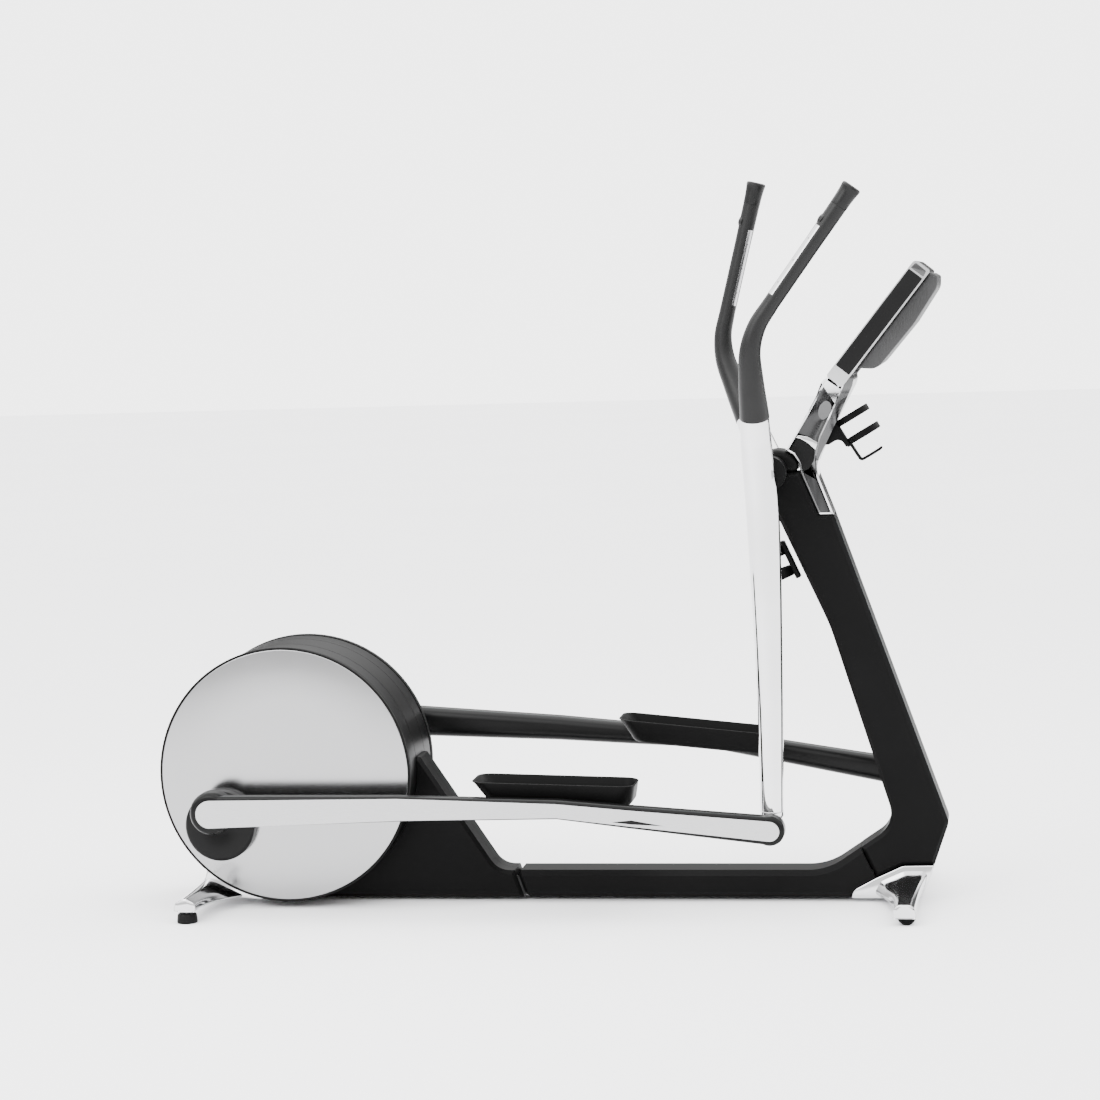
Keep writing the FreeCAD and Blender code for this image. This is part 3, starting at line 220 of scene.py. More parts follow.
def smoothLine(line, steps):
    # extra stations on a smooth curve through rows of numbers whose first three are a place
    points = [Vector(row[:3]) for row in line]
    lengths = [0.0]
    for i in range(1, len(points)):
        lengths.append(lengths[-1] + (points[i] - points[i - 1]).length)
    width = len(line[0])
    slopes = []
    for i in range(len(line)):
        before, after = max(i - 1, 0), min(i + 1, len(line) - 1)
        run = lengths[after] - lengths[before]
        slopes.append([(line[after][k] - line[before][k]) / run for k in range(width)])
    finer = []
    for i in range(len(line) - 1):
        run = lengths[i + 1] - lengths[i]
        for step in range(steps):
            t = step / steps
            h = (2 * t ** 3 - 3 * t ** 2 + 1, t ** 3 - 2 * t ** 2 + t, 3 * t ** 2 - 2 * t ** 3,
                 t ** 3 - t ** 2)
            finer.append([h[0] * line[i][k] + h[1] * run * slopes[i][k] + h[2] * line[i + 1][k]
                          + h[3] * run * slopes[i + 1][k] for k in range(width)])
    return finer + [list(line[-1])]


def tubeRings(line, firstWay=None, lastWay=None, count=48):
    # round loops square to a line of (x, y, z, radius)
    points = [Vector(row[:3]) for row in line]
    rings = []
    for i, row in enumerate(line):
        way = (points[min(i + 1, len(line) - 1)] - points[max(i - 1, 0)]).normalized()
        way = firstWay if i == 0 and firstWay else way
        way = lastWay if i == len(line) - 1 and lastWay else way
        across = way.cross(Vector((0, 1, 0))).normalized()
        up = across.cross(way)
        rings.append([points[i] + (across * math.cos(2 * math.pi * k / count)
                                   + up * math.sin(2 * math.pi * k / count)) * row[3] for k in range(count)])
    return rings


def insetLoop(loop, distance):
    # the same loop moved inwards by a fixed distance
    points, count = [Vector(p) for p in loop], len(loop)
    area = sum(points[i - 1].cross(points[i]) for i in range(count))
    way, moved = (1 if area > 0 else -1), []
    for i in range(count):
        before = (points[i] - points[i - 1]).normalized()
        after = (points[(i + 1) % count] - points[i]).normalized()
        n1, n2 = Vector((-before.y, before.x)) * way, Vector((-after.y, after.x)) * way
        moved.append(tuple(points[i] + (n1 + n2) * distance / max(1 + n1.dot(n2), 0.35)))
    return moved


def divided(loop, longest):
    # adds points along the long edges of a loop
    found = []
    for i, start in enumerate(loop):
        a, b = Vector(start), Vector(loop[(i + 1) % len(loop)])
        pieces = max(1, math.ceil((b - a).length / longest))
        found += [tuple(a.lerp(b, k / pieces)) for k in range(pieces)]
    return found


def thickSheet(name, top, bottom, place=machineFrame, smooth=40.0):
    # a closed sheet between two grids of points of the same size
    rows, columns = len(top), len(top[0])
    points = [p for grid in (top, bottom) for row in grid for p in row]
    step, faces = rows * columns, []
    for r in range(rows - 1):
        for c in range(columns - 1):
            i = r * columns + c
            faces.append((i, i + 1, i + columns + 1, i + columns))
            faces.append((step + i, step + i + columns, step + i + columns + 1, step + i + 1))
    border = list(range(columns)) + [r * columns + columns - 1 for r in range(1, rows)]
    border += list(range(rows * columns - 2, (rows - 1) * columns - 1,
                         -1)) + [r * columns for r in range(rows - 2, 0, -1)]
    for a, b in zip(border, border[1:] + border[:1]):
        faces.append((a, b, step + b, step + a))
    return meshObject(name, points, faces, place, smooth)


def finish(name, dark, light, roughness, metal=0.0, drift=6.0, grain=900.0, depth=0.02, stretch=(1, 1, 1),
           coat=0.0, specular=0.5):
    # colour and roughness drift slowly over the piece, with a fine surface relief
    material = bpy.data.materials.new(name)
    material.use_nodes = True
    tree = material.node_tree
    shader = tree.nodes["Principled BSDF"]
    shader.inputs["Metallic"].default_value = metal
    shader.inputs["Coat Weight"].default_value = coat
    shader.inputs["Coat Roughness"].default_value = 0.12
    shader.inputs["Specular IOR Level"].default_value = specular
    coordinates = tree.nodes.new("ShaderNodeTexCoord")
    mapping = tree.nodes.new("ShaderNodeMapping")
    mapping.inputs["Scale"].default_value = stretch
    tree.links.new(coordinates.outputs["Object"], mapping.inputs["Vector"])

    def noise(scale, detail):
        texture = tree.nodes.new("ShaderNodeTexNoise")
        texture.inputs["Scale"].default_value = scale
        texture.inputs["Detail"].default_value = detail
        tree.links.new(mapping.outputs["Vector"], texture.inputs["Vector"])
        return texture

    slow, fine = noise(drift, 3.0), noise(grain, 2.0)
    ramp = tree.nodes.new("ShaderNodeValToRGB")
    ramp.color_ramp.elements[0].position, ramp.color_ramp.elements[1].position = 0.3, 0.7
    ramp.color_ramp.elements[0].color = (*dark, 1)
    ramp.color_ramp.elements[1].color = (*light, 1)
    tree.links.new(slow.outputs["Fac"], ramp.inputs["Fac"])
    tree.links.new(ramp.outputs["Color"], shader.inputs["Base Color"])
    spread = tree.nodes.new("ShaderNodeMapRange")
    spread.inputs["To Min"].default_value, spread.inputs["To Max"].default_value = roughness
    tree.links.new(fine.outputs["Fac"], spread.inputs["Value"])
    tree.links.new(spread.outputs["Result"], shader.inputs["Roughness"])
    relief = tree.nodes.new("ShaderNodeBump")
    relief.inputs["Strength"].default_value = depth * 10
    relief.inputs["Distance"].default_value = 0.0002
    tree.links.new(fine.outputs["Fac"], relief.inputs["Height"])
    tree.links.new(relief.outputs["Normal"], shader.inputs["Normal"])
    return material


def grey(value):
    return (value, value, value * 1.01)


finishRows = {
    # darkest and lightest grey, smoothest and roughest, then what differs from the usual
    "casingBlack": (0.0022, 0.0032, 0.40, 0.48, dict(drift=5, grain=500, depth=0.003, specular=0.05)),
    "drumBlack": (0.0022, 0.0034, 0.34, 0.42, dict(drift=4, grain=500, depth=0.003, specular=0.05)),
    "armBlack": (0.0020, 0.0030, 0.26, 0.34, dict(drift=9, grain=400, depth=0.002, specular=0.12)),
    "trayBlack": (0.0016, 0.0024, 0.40, 0.50, dict(drift=9, grain=1600, depth=0.01, specular=0.06)),
    "panelBlack": (0.0045, 0.0060, 0.42, 0.50, dict(drift=8, grain=1500, depth=0.008, specular=0.08)),
    "sleeveBlack": (0.0045, 0.0065, 0.36, 0.44, dict(drift=12, grain=350, depth=0.002, specular=0.2)),
    "capBlack": (0.0040, 0.0055, 0.30, 0.38, dict(drift=14, grain=350, depth=0.002, specular=0.18)),
    "shellGrey": (0.030, 0.038, 0.40, 0.48, dict(drift=9, grain=1100, depth=0.01, specular=0.12)),
    "screenGloss": (0.0020, 0.0028, 0.05, 0.07, dict(drift=3, grain=60, depth=0.001, coat=0.4, specular=0.3)),
    "rubberBlack": (0.0024, 0.0040, 0.55, 0.70, dict(drift=30, grain=900, depth=0.02, specular=0.1)),
    "discSilver": (0.34, 0.37, 0.17, 0.20, dict(metal=1.0, drift=1.2, grain=40, depth=0.0005)),
    "chromePolish": (0.70, 0.76, 0.04, 0.07, dict(metal=1.0, drift=8, grain=60, depth=0.0008)),
    "castingPolish": (0.62, 0.70, 0.08, 0.14, dict(metal=1.0, drift=14, grain=90, depth=0.002)),
    "castingDark": (0.035, 0.055, 0.20, 0.28, dict(metal=1.0, drift=12, grain=90, depth=0.002)),
    "castingGrey": (0.075, 0.10, 0.16, 0.24, dict(metal=1.0, drift=9, grain=90, depth=0.002)),
    "brushedDark": (0.030, 0.050, 0.30, 0.38, dict(metal=1.0, drift=60, grain=600, depth=0.004,
                                                   stretch=(1, 1, 0.05))),
    "stripSteel": (0.42, 0.48, 0.24, 0.32, dict(metal=1.0, drift=3, grain=500, depth=0.004,
                                                stretch=(0.03, 1, 1))),
    "sensorSteel": (0.46, 0.54, 0.18, 0.26, dict(metal=1.0, drift=9, grain=500, depth=0.002,
                                                 stretch=(1, 1, 0.1))),
    "frameSteel": (0.006, 0.010, 0.40, 0.5, dict(drift=8, grain=800, depth=0.01, specular=0.2)),
    "plainSteel": (0.35, 0.42, 0.25, 0.35, dict(metal=1.0, drift=12, grain=400, depth=0.006)),
    "castIron": (0.04, 0.07, 0.45, 0.6, dict(metal=1.0, drift=10, grain=500, depth=0.03)),
    "markWhite": (0.30, 0.34, 0.35, 0.42, dict(drift=30, grain=900, depth=0.005)),
}
finishes = {}
for finishName, (dark, light, smoothest, roughest, extra) in finishRows.items():
    finishes[finishName] = finish(finishName, grey(dark), grey(light), (smoothest, roughest), **extra)

cadFinish = {
    "casingBlack": ["beam_cover", "rear_panel_near", "rear_panel_far", "column_shell_near",
                    "column_shell_far", "axle_cap"],
    "drumBlack": ["drum_band", "axle_covers"],
    "frameSteel": ["base_beam", "column_core", "drive_plates"],
    "plainSteel": ["crank_bearings", "idler_bolt", "lever_axle", "pad_studs", "roller_axles", "crankshaft",
                   "crank_pins", "drive_pulley", "flywheel_shaft"],
    "castIron": ["flywheel", "brake_magnet"],
    "rubberBlack": ["drive_belt"],
    "castingPolish": ["console_frame"],
    "panelBlack": ["console_side_panels"],
    "screenGloss": ["screen"],
    "trayBlack": ["belt_idler"],
}
for finishName, members in cadFinish.items():
    for member in members:
        nodes[member].data.materials.clear()
        nodes[member].data.materials.append(finishes[finishName])


def placed(obj, body, finishName, slotName, *replaced):
    # gives a finished piece its material, its body and the CAD pieces that it stands for
    if not obj.data.materials:
        obj.data.materials.append(finishes[finishName])
    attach(obj, body)
    if replaced:
        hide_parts(*replaced)
    return obj


print("materials made:", len(finishes))

disc = {"radius": 285.0, "face": 134.0, "thickness": 4.0, "hubRadius": 55.0, "hubDepth": 10.0, "edge": 1.6,
        "rimWidth": 5.0, "rimDepth": 14.0, "shaftRadius": 15.0}


def makeDiscs():
    face, back, radius = disc["face"], disc["face"] - disc["thickness"], disc["radius"]
    rims = []
    for word, side in sides.items():
        edge = arcPoints(radius - disc["edge"], face - disc["edge"], disc["edge"], 90, 0, 4)
        profile = [(disc["shaftRadius"], back - disc["hubDepth"]),
                   (disc["hubRadius"] - 2, back - disc["hubDepth"]),
                   (disc["hubRadius"], back - disc["hubDepth"] + 2), (disc["hubRadius"], back),
                   (radius, back)]
        profile += edge[::-1] + [(radius * 0.6, face), (0.01, face), (0.01, back),
                                 (disc["shaftRadius"], back)]
        plate = lathe("drivingDisc" + word.capitalize(), [(r, side * y) for r, y in profile], 0,
                      linkage["crankHeight"], 256)
        placed(plate, "crankset", "discSilver", "disc_silver", "drive_disc_" + word)
        outer = radius + disc["rimWidth"]
        loop = [(radius + 0.3, face - disc["rimDepth"]), (outer - 1, face - disc["rimDepth"])]
        loop += arcPoints(outer - 2.2, face - 1.6, 2.2, 0, 90, 5) + [(radius + 0.3, face - 0.4)]
        rims.append(lathe("rim" + word, [(r, side * y) for r, y in loop], 0, linkage["crankHeight"], 256))
    placed(joined("discRims", *rims), "crankset", "rubberBlack", "rim_black", "disc_rims")


boss = {"radius": 80.0, "depth": 32.0, "offset": 41.0, "edge": 9.0}


def makeBosses():
    made = []
    for word, side in sides.items():
        pinX, pinZ = rest[word]["pin"]
        lean = boss["offset"] if side < 0 else -boss["offset"]
        tip = disc["face"] + boss["depth"]
        profile = [(0.01, disc["face"]), (boss["radius"] - 1.2, disc["face"]),
                   (boss["radius"], disc["face"] + 1.2)]
        profile += arcPoints(boss["radius"] - boss["edge"], tip - boss["edge"], boss["edge"], 0, 90, 7)
        profile += [(30, tip), (26, tip - 1.5), (0.01, tip - 1.5)]
        made.append(lathe("boss" + word, [(r, side * y) for r, y in profile], pinX, pinZ - lean, 128,
                          closed=False))
    placed(joined("crankBosses", *made), "crankset", "armBlack", "boss_black", "crank_bosses")


drum = {"radius": 288.0, "seam": 47.6, "end": 117.0, "wall": 4.0, "hole": 61.0, "edge": 5.0}


def makeDrumShells():
    radius, edge = drum["radius"], drum["edge"]
    for word, side in sides.items():
        profile = [(radius - drum["wall"], drum["seam"]), (radius - 1.5, drum["seam"]),
                   (radius, drum["seam"] + 1.5)]
        profile += arcPoints(radius - edge, drum["end"] - edge, edge, 0, 90, 6)
        profile += [(radius * 0.6, drum["end"]), (drum["hole"], drum["end"]),
                    (drum["hole"], drum["end"] - drum["wall"]),
                    (radius - drum["wall"], drum["end"] - drum["wall"] - 2)]
        shell = lathe("drumShell" + word.capitalize(), [(r, side * y) for r, y in profile], 0,
                      linkage["crankHeight"], 256)
        placed(shell, "frame", "drumBlack", "casing_black", "drum_shell_" + word)


makeDiscs()
makeBosses()
makeDrumShells()
print("drum and discs made")

arm = {"inner": 194.0, "outer": 242.0, "turnIn": 8.0, "eye": 49.0, "length": 1251.0,
       "stations": [(0.0, 4.0, 36.0), (430.0, 25.0, 28.0), (784.0, 34.0, 21.0), (950.0, 21.8, 24.6),
                    (1251.0, 0.0, 31.0)],
       "outerCorner": 8.0, "innerCorner": 21.0, "frontRadius": 33.0}


def armAt(s):
    # centre height, half height and turn-in of the arm at a distance from its pin
    rows = arm["stations"]
    for low, high in zip(rows, rows[1:]):
        if s <= high[0]:
            t = (s - low[0]) / (high[0] - low[0])
            turn = arm["turnIn"] * max(0.0, (s - 950.0) / (arm["length"] - 950.0))
            return low[1] + (high[1] - low[1]) * t, low[2] + (high[2] - low[2]) * t, turn
    return rows[-1][1], rows[-1][2], arm["turnIn"]


def armSection(s, side, grow=0.0):
    # squarish outside, round inside
    rise, half, turn = armAt(s)
    inner, outer = arm["inner"] - turn, arm["outer"] - turn
    deep = min(arm["innerCorner"], half - 1)
    corners = [(inner, rise - half - grow, deep), (outer, rise - half - grow, arm["outerCorner"]),
               (outer, rise + half + grow, arm["outerCorner"]), (inner, rise + half + grow, deep)]
    return [(s, side * y, z) for y, z in roundedLoop(corners, 7)]


def makeArm(word, side):
    spots = [0, 110, 220, 330, 430, 530, 640, 720, 760, 784, 810, 860, 950, 1050, 1150, 1251]
    bar = ringsToMesh("armBar", [armSection(s, side) for s in spots], armFrame(word), 40)
    inner, outer = arm["inner"], arm["outer"]
    eyeProfile = [(0.01, inner), (arm["eye"] - 2, inner), (arm["eye"], inner + 2), (arm["eye"], outer - 20)]
    eyeProfile += [(37.0 + 12.0 * math.cos(math.radians(a)), outer - 20 + 20 * math.sin(math.radians(a)))
                   for a in (15, 30, 45, 60, 75, 90)] + [(0.01, outer)]
    eye = lathe("armEye", [(r, side * y) for r, y in eyeProfile], 0, 0, 96, armFrame(word), closed=False,
                smooth=50)
    turn, front = arm["turnIn"], arm["frontRadius"]
    frontProfile = [(0.01, inner - turn), (front - 9, inner - turn)]
    frontProfile += arcPoints(front - 9, inner - turn + 9, 9, -90, 0, 5)
    frontProfile += arcPoints(front - 9, outer - turn - 9, 9, 0, 90, 5) + [(0.01, outer - turn)]
    tip = lathe("armTip", [(r, side * y) for r, y in frontProfile], arm["length"], 0, 96, armFrame(word),
                closed=False)
    placed(joined("pedalArm" + word.capitalize(), bar, eye, tip), "arm_" + word, "armBlack", "arm_black",
           "pedal_arm_" + word)
    makeStrip(word, side)


strip = {"thickness": 2.0, "rearHalf": 31.5, "kinkHalf": 15.5, "frontHalf": 22.0}


def makeStrip(word, side):
    rows = [(0.0, 0.0, strip["rearHalf"]), (430.0, 24.2, 24.5), (784.0, 32.2, strip["kinkHalf"]),
            (950.0, 20.7, 17.7),
            (1251.0, 0.0, strip["frontHalf"])]
    upper, lower = [], []
    for s, rise, half in rows[1:-1]:
        upper.append((s, rise + half))
        lower.append((s, rise - half))
    front = arcPoints(arm["length"], 0, strip["frontHalf"], 88, -92, 14)
    rear = arcPoints(0, 0, strip["rearHalf"], 266, 94, 16)
    loop = front + lower[::-1] + rear + upper
    rings = []
    for lift, shrink in ((0.05, 0.0), (1.4, 0.0), (strip["thickness"], 0.6)):
        ring = []
        for s, z in loop:
            rise, _, turn = armAt(min(max(s, 0), arm["length"]))
            y = arm["outer"] - turn + lift
            scale = 1 - shrink / 30.0
            ring.append((s, side * y, rise * (1 - scale) + z * scale))
        rings.append(ring)
    plate = ringsToMesh("armStrip" + word.capitalize(), rings, armFrame(word), 30)
    placed(plate, "arm_" + word, "stripSteel", "strip_steel", "arm_strip_" + word)


tray = {"start": 573.0, "end": 948.0, "inner": 64.0, "outer": 194.0, "low": 32.0, "rim": 82.0, "corner": 34.0,
        "ribCount": 13, "ribHeight": 1.6, "ribWidth": 3.0}


def trayLoop(rearIn, frontIn, sideIn, height, side, corner):
    s0, s1 = tray["start"] + rearIn, tray["end"] - frontIn
    y0, y1 = tray["inner"] + sideIn, tray["outer"] - sideIn
    corners = [(s0, y0, corner), (s1, y0, corner), (s1, y1, corner), (s0, y1, corner)]
    return [(s, side * y, height) for s, y in roundedLoop(corners, 7)]


def makeTray(word, side):
    low, rim, corner = tray["low"], tray["rim"], tray["corner"]
    rows = [(62, 30, 16, low, corner - 8), (50, 16, 8, low + 1.5, corner - 4), (44, 9, 3, low + 7, corner),
            (40, 5, 1, low + 14, corner), (14, 1, 0, rim - 5, corner), (9, 0, 0, rim - 1.5, corner),
            (10, 1, 1, rim, corner), (13, 3.6, 3.6, rim, corner - 2), (15, 5, 5, rim - 2, corner - 3),
            (42, 10, 6, low + 17, corner - 5), (52, 15, 9, low + 9, corner - 6),
            (62, 24, 15, low + 6, corner - 10)]
    rings = [trayLoop(rearIn, frontIn, sideIn, height, side, radius) for rearIn, frontIn, sideIn, height,
             radius in rows]
    body = ringsToMesh("pedalTray" + word.capitalize(), rings, armFrame(word), 45)
    placed(body, "arm_" + word, "trayBlack", "tray_black", "pedal_" + word)
    ribs = repeated("trayRibs" + word.capitalize(), tray["ribCount"], armFrame(word),
                    (tray["start"] + 84, side * (tray["inner"] + tray["outer"]) / 2, low + 6.2),
                    (tray["end"] - 40, side * (tray["inner"] + tray["outer"]) / 2, low + 6.2),
                    (tray["ribWidth"], 84, tray["ribHeight"]), "trayBlack")
    placed(ribs, "arm_" + word, "trayBlack", "tray_black")


def repeated(name, count, place, start, end, block, finishName, rounds=0):
    # a row of small blocks, or of round heads when rounds is given, from start to end
    tree = bpy.data.node_groups.new(name + "Row", "GeometryNodeTree")
    tree.interface.new_socket("Geometry", in_out="OUTPUT", socket_type="NodeSocketGeometry")
    sockets = {}
    for label, kind in (("Count", "NodeSocketInt"), ("Start", "NodeSocketVector"),
                        ("End", "NodeSocketVector"),
                        ("Size", "NodeSocketVector")):
        sockets[label] = tree.interface.new_socket(label, in_out="INPUT", socket_type=kind).identifier
    source, result = tree.nodes.new("NodeGroupInput"), tree.nodes.new("NodeGroupOutput")
    line = tree.nodes.new("GeometryNodeMeshLine")
    line.mode = "END_POINTS"
    tree.links.new(source.outputs["Count"], line.inputs["Count"])
    tree.links.new(source.outputs["Start"], line.inputs["Start Location"])
    tree.links.new(source.outputs["End"], line.inputs["Offset"])
    if rounds:
        piece = tree.nodes.new("GeometryNodeMeshUVSphere")
        piece.inputs["Segments"].default_value, piece.inputs["Rings"].default_value = rounds, rounds // 2
        piece.inputs["Radius"].default_value = 0.5
    else:
        piece = tree.nodes.new("GeometryNodeMeshCube")
    scatter = tree.nodes.new("GeometryNodeInstanceOnPoints")
    tree.links.new(line.outputs["Mesh"], scatter.inputs["Points"])
    tree.links.new(piece.outputs["Mesh"], scatter.inputs["Instance"])
    tree.links.new(source.outputs["Size"], scatter.inputs["Scale"])
    real, paint = tree.nodes.new("GeometryNodeRealizeInstances"), tree.nodes.new("GeometryNodeSetMaterial")
    paint.inputs["Material"].default_value = finishes[finishName]
    tree.links.new(scatter.outputs["Instances"], real.inputs["Geometry"])
    tree.links.new(real.outputs["Geometry"], paint.inputs["Geometry"])
    tree.links.new(paint.outputs["Geometry"], result.inputs["Geometry"])
    holder = bpy.data.objects.new(name, bpy.data.meshes.new(name))
    scene.collection.objects.link(holder)
    modifier = holder.modifiers.new("row", "NODES")
    modifier.node_group = tree
    modifier[sockets["Count"]] = count
    modifier[sockets["Start"]] = start
    modifier[sockets["End"]] = end
    modifier[sockets["Size"]] = block
    graph = bpy.context.evaluated_depsgraph_get()
    mesh = bpy.data.meshes.new_from_object(holder.evaluated_get(graph))
    holder.modifiers.clear()
    mesh.transform(place)
    holder.data = mesh
    if not rounds:
        edge = holder.modifiers.new("edges", "BEVEL")
        edge.width, edge.segments = min(block) * 0.3 * mm, 2
        settled(holder)
    else:
        mesh.shade_smooth()
    return holder


for word, side in sides.items():
    makeArm(word, side)
    makeTray(word, side)
print("pedal arms made")

lever = {"plane": 155.0, "gripPlane": 240.0, "sleeveJoint": 124.7, "capX": 162.8, "capZ": 573.1,
         "gripRadius": 18.0,
         "bend": (18.3, 370.3), "capLength": 52.0, "hubRadius": 38.0, "hubStart": 120.0}
gripWay = Vector((lever["capX"] - lever["bend"][0], 0, lever["capZ"] - lever["bend"][1])).normalized()


def leverPath(side):
    low, high, r = lever["plane"], lever["gripPlane"], lever["gripRadius"]
    joint = (-24.6, side * (low + 33), lever["sleeveJoint"], 31.5)
    tube = [(0.4, side * low, -745.0, 25.5), (-1.1, side * low, -473, 29), (-11.7, side * low, -100.2, 36),
            (-22.8, side * (low + 14), 59.7, 34), joint]
    bend = (lever["bend"][0], side * high, lever["bend"][1], r)
    sleeve = [(joint[0], joint[1], joint[2], 32.3), (-28.6, side * (high - 17), 209.7, 27),
              (-28.4, side * (high - 3), 269.7, 23),
              (-13, side * high, 321.9, 20), bend]
    return tube, sleeve


def makeLever(word, side):
    tube, sleeve = leverPath(side)
    title, place = word.capitalize(), leverFrame(word)
    joinWay = Vector((-0.03, side * 0.36, 0.93)).normalized()
    rings = tubeRings(smoothLine(tube, 14), None, joinWay, 64)
    bar = ringsToMesh("leverTube" + title, rings, place, 60)
    plane = lever["plane"]
    hubProfile = [(15.3, lever["hubStart"]), (lever["hubRadius"] - 4, lever["hubStart"])]
    hubProfile += arcPoints(lever["hubRadius"] - 4, lever["hubStart"] + 4, 4, -90, 0,
                            4) + [(lever["hubRadius"], plane), (15.3, plane)]
    hub = lathe("leverHub" + title, [(r, side * y) for r, y in hubProfile], 0, 0, 96, place)
    placed(bar, "lever_" + word, "chromePolish", "tube_chrome", "lever_tube_" + word)
    placed(hub, "lever_" + word, "drumBlack", "tube_chrome")

    line = smoothLine(sleeve, 12)
    cap = Vector((lever["capX"], side * lever["gripPlane"], lever["capZ"]))
    start = Vector(sleeve[-1][:3])
    for k in range(1, 9):
        spot = start.lerp(cap, k / 8)
        line.append([*spot, lever["gripRadius"] + 0.9 * max(0.0, k / 8 - 0.6) / 0.4])
    rings = tubeRings(line, joinWay, gripWay, 64)
    first = Vector((sum(p.x for p in rings[0]), sum(p.y for p in rings[0]), sum(p.z for p in rings[0]))) / 64
    lip = [[first + (p - first) * 0.955 for p in rings[0]],
           [first + (p - first) * 0.985 - joinWay * 1.2 for p in rings[0]]]
    body = ringsToMesh("gripSleeve" + title, lip + rings, place, 60)
    placed(body, "lever_" + word, "sleeveBlack", "sleeve_black", "grip_sleeve_" + word)

    length = lever["capLength"]
    rows = [(0.0, 18.2), (0.6, 18.9), (1.6, 19.2), (length * 0.3, 19.3), (length * 0.6, 20.2),
            (length * 0.85, 21.6),
            (length - 7, 22.0), (length - 5.6, 21.6), (length - 5.0, 22.0), (length - 3, 21.6),
            (length - 1.2, 20.2),
            (length - 0.2, 17.0), (length, 12.0)]
    capLine = [[*(cap + gripWay * along), radius] for along, radius in rows]
    end = ringsToMesh("gripCap" + title, tubeRings(capLine, gripWay, gripWay, 64), place, 40)
    placed(end, "lever_" + word, "capBlack", "cap_black", "grip_cap_" + word)
    makeSensors(word, side, cap, place)
    makeButton(word, side, cap, place)
    makeKnuckle(word, side, place)


sensor = {"drop": 145.0, "length": 176.0, "radius": 18.5, "halfAngle": 21.0, "screwCount": 3,
          "screwSize": 3.0}


def sensorWays(side):
    backWay = Vector((-gripWay.z, 0, gripWay.x))
    for lean in (1, -1):
        yield (Vector((0, side * lean, 0)) + backWay * lean).normalized()


def makeSensors(word, side, cap, place):
    middle = cap - gripWay * sensor["drop"]
    plates, screws = [], []
    for index, outward in enumerate(sensorWays(side)):
        across = gripWay.cross(outward)
        half, r, angle = sensor["length"] / 2, sensor["radius"], sensor["halfAngle"]
        grids = []
        for radius in (r, r - 2.0):
            grids.append([[middle + gripWay * u + (outward * math.cos(math.radians(v))
                                                   + across * math.sin(math.radians(v))) * radius
                           for v in [angle * k / 6 for k in range(-6, 7)]] for u in (-half, half)])
        plates.append(thickSheet("sensor%d" % index, grids[0], grids[1], place, 30))
        spot = middle + outward * (r - 0.3)
        screws.append(repeated("screws%s%d" % (word, index), sensor["screwCount"], place,
                               tuple(spot - gripWay * half * 0.66), tuple(spot + gripWay * half * 0.62),
                               (sensor["screwSize"],) * 3, "plainSteel", rounds=12))
    placed(joined("handSensor" + word.capitalize(), *plates), "lever_" + word, "sensorSteel", "sensor_steel",
           "hand_sensor_" + word)
    heads = joined("sensorScrews" + word.capitalize(), *screws)
    heads.data.materials.clear()
    placed(heads, "lever_" + word, "castIron", "sensor_steel")


button = {"drop": 42.0, "radius": 7.0, "height": 10.5, "proud": 3.0, "markRadius": 1.7, "bumpRadius": 13.0}


def aimed(profile, centre, way, segments=48):
    # a turned shape about any axis: profile rows are (radius, height along the way)
    across = way.cross(Vector((0, 1, 0))).normalized()
    up = across.cross(way)
    rings = []
    for radius, height in profile:
        rings.append([centre + way * height + (across * math.cos(2 * math.pi * k / segments)
                      + up * math.sin(2 * math.pi * k / segments)) * radius for k in range(segments)])
    return rings


def makeButton(word, side, cap, place):
    centre = cap - gripWay * button["drop"]
    backWay = Vector((-gripWay.z, 0, gripWay.x))
    top = lever["gripRadius"] + button["proud"]
    profile = [(button["radius"] - 0.6, top - button["height"]),
               (button["radius"], top - button["height"] + 1),
               (button["radius"], top - 1.6), (button["radius"] - 0.6, top - 0.6),
               (button["radius"] - 2.4, top - 0.1), (1.0, top)]
    key = ringsToMesh("gripButton" + word.capitalize(), aimed(profile, centre, backWay), place, 40)
    placed(key, "button_" + word, "capBlack", "button_black", "grip_button_" + word)
    mark = [(button["markRadius"], top - 0.4), (button["markRadius"], top + 0.15),
            (button["markRadius"] - 0.5, top + 0.3)]
    dot = ringsToMesh("buttonMark" + word.capitalize(), aimed(mark, centre, backWay, 24), place, 40)
    placed(dot, "button_" + word, "markWhite", "button_black")
    base = lever["gripRadius"]
    collar = [(button["bumpRadius"] + 3, base - 5.5), (button["bumpRadius"], base - 2.2),
              (button["bumpRadius"] - 2.5, base + 0.2),
              (button["radius"] + 2.2, base + 1.5), (button["radius"] + 0.8, base + 1.4),
              (button["radius"] + 0.6, base - 4),
              (button["radius"] + 0.6, base - 6)]
    bump = ringsToMesh("buttonSeat" + word.capitalize(), aimed(collar, centre, backWay), place, 50,
                       capped=False)
    thick = bump.modifiers.new("wall", "SOLIDIFY")
    thick.thickness = 0.0006
    thick.offset = -1
    settled(bump, 50)
    placed(bump, "lever_" + word, "sleeveBlack", "sleeve_black")


knuckle = {"ballRadius": 26.5, "top": -745.0}


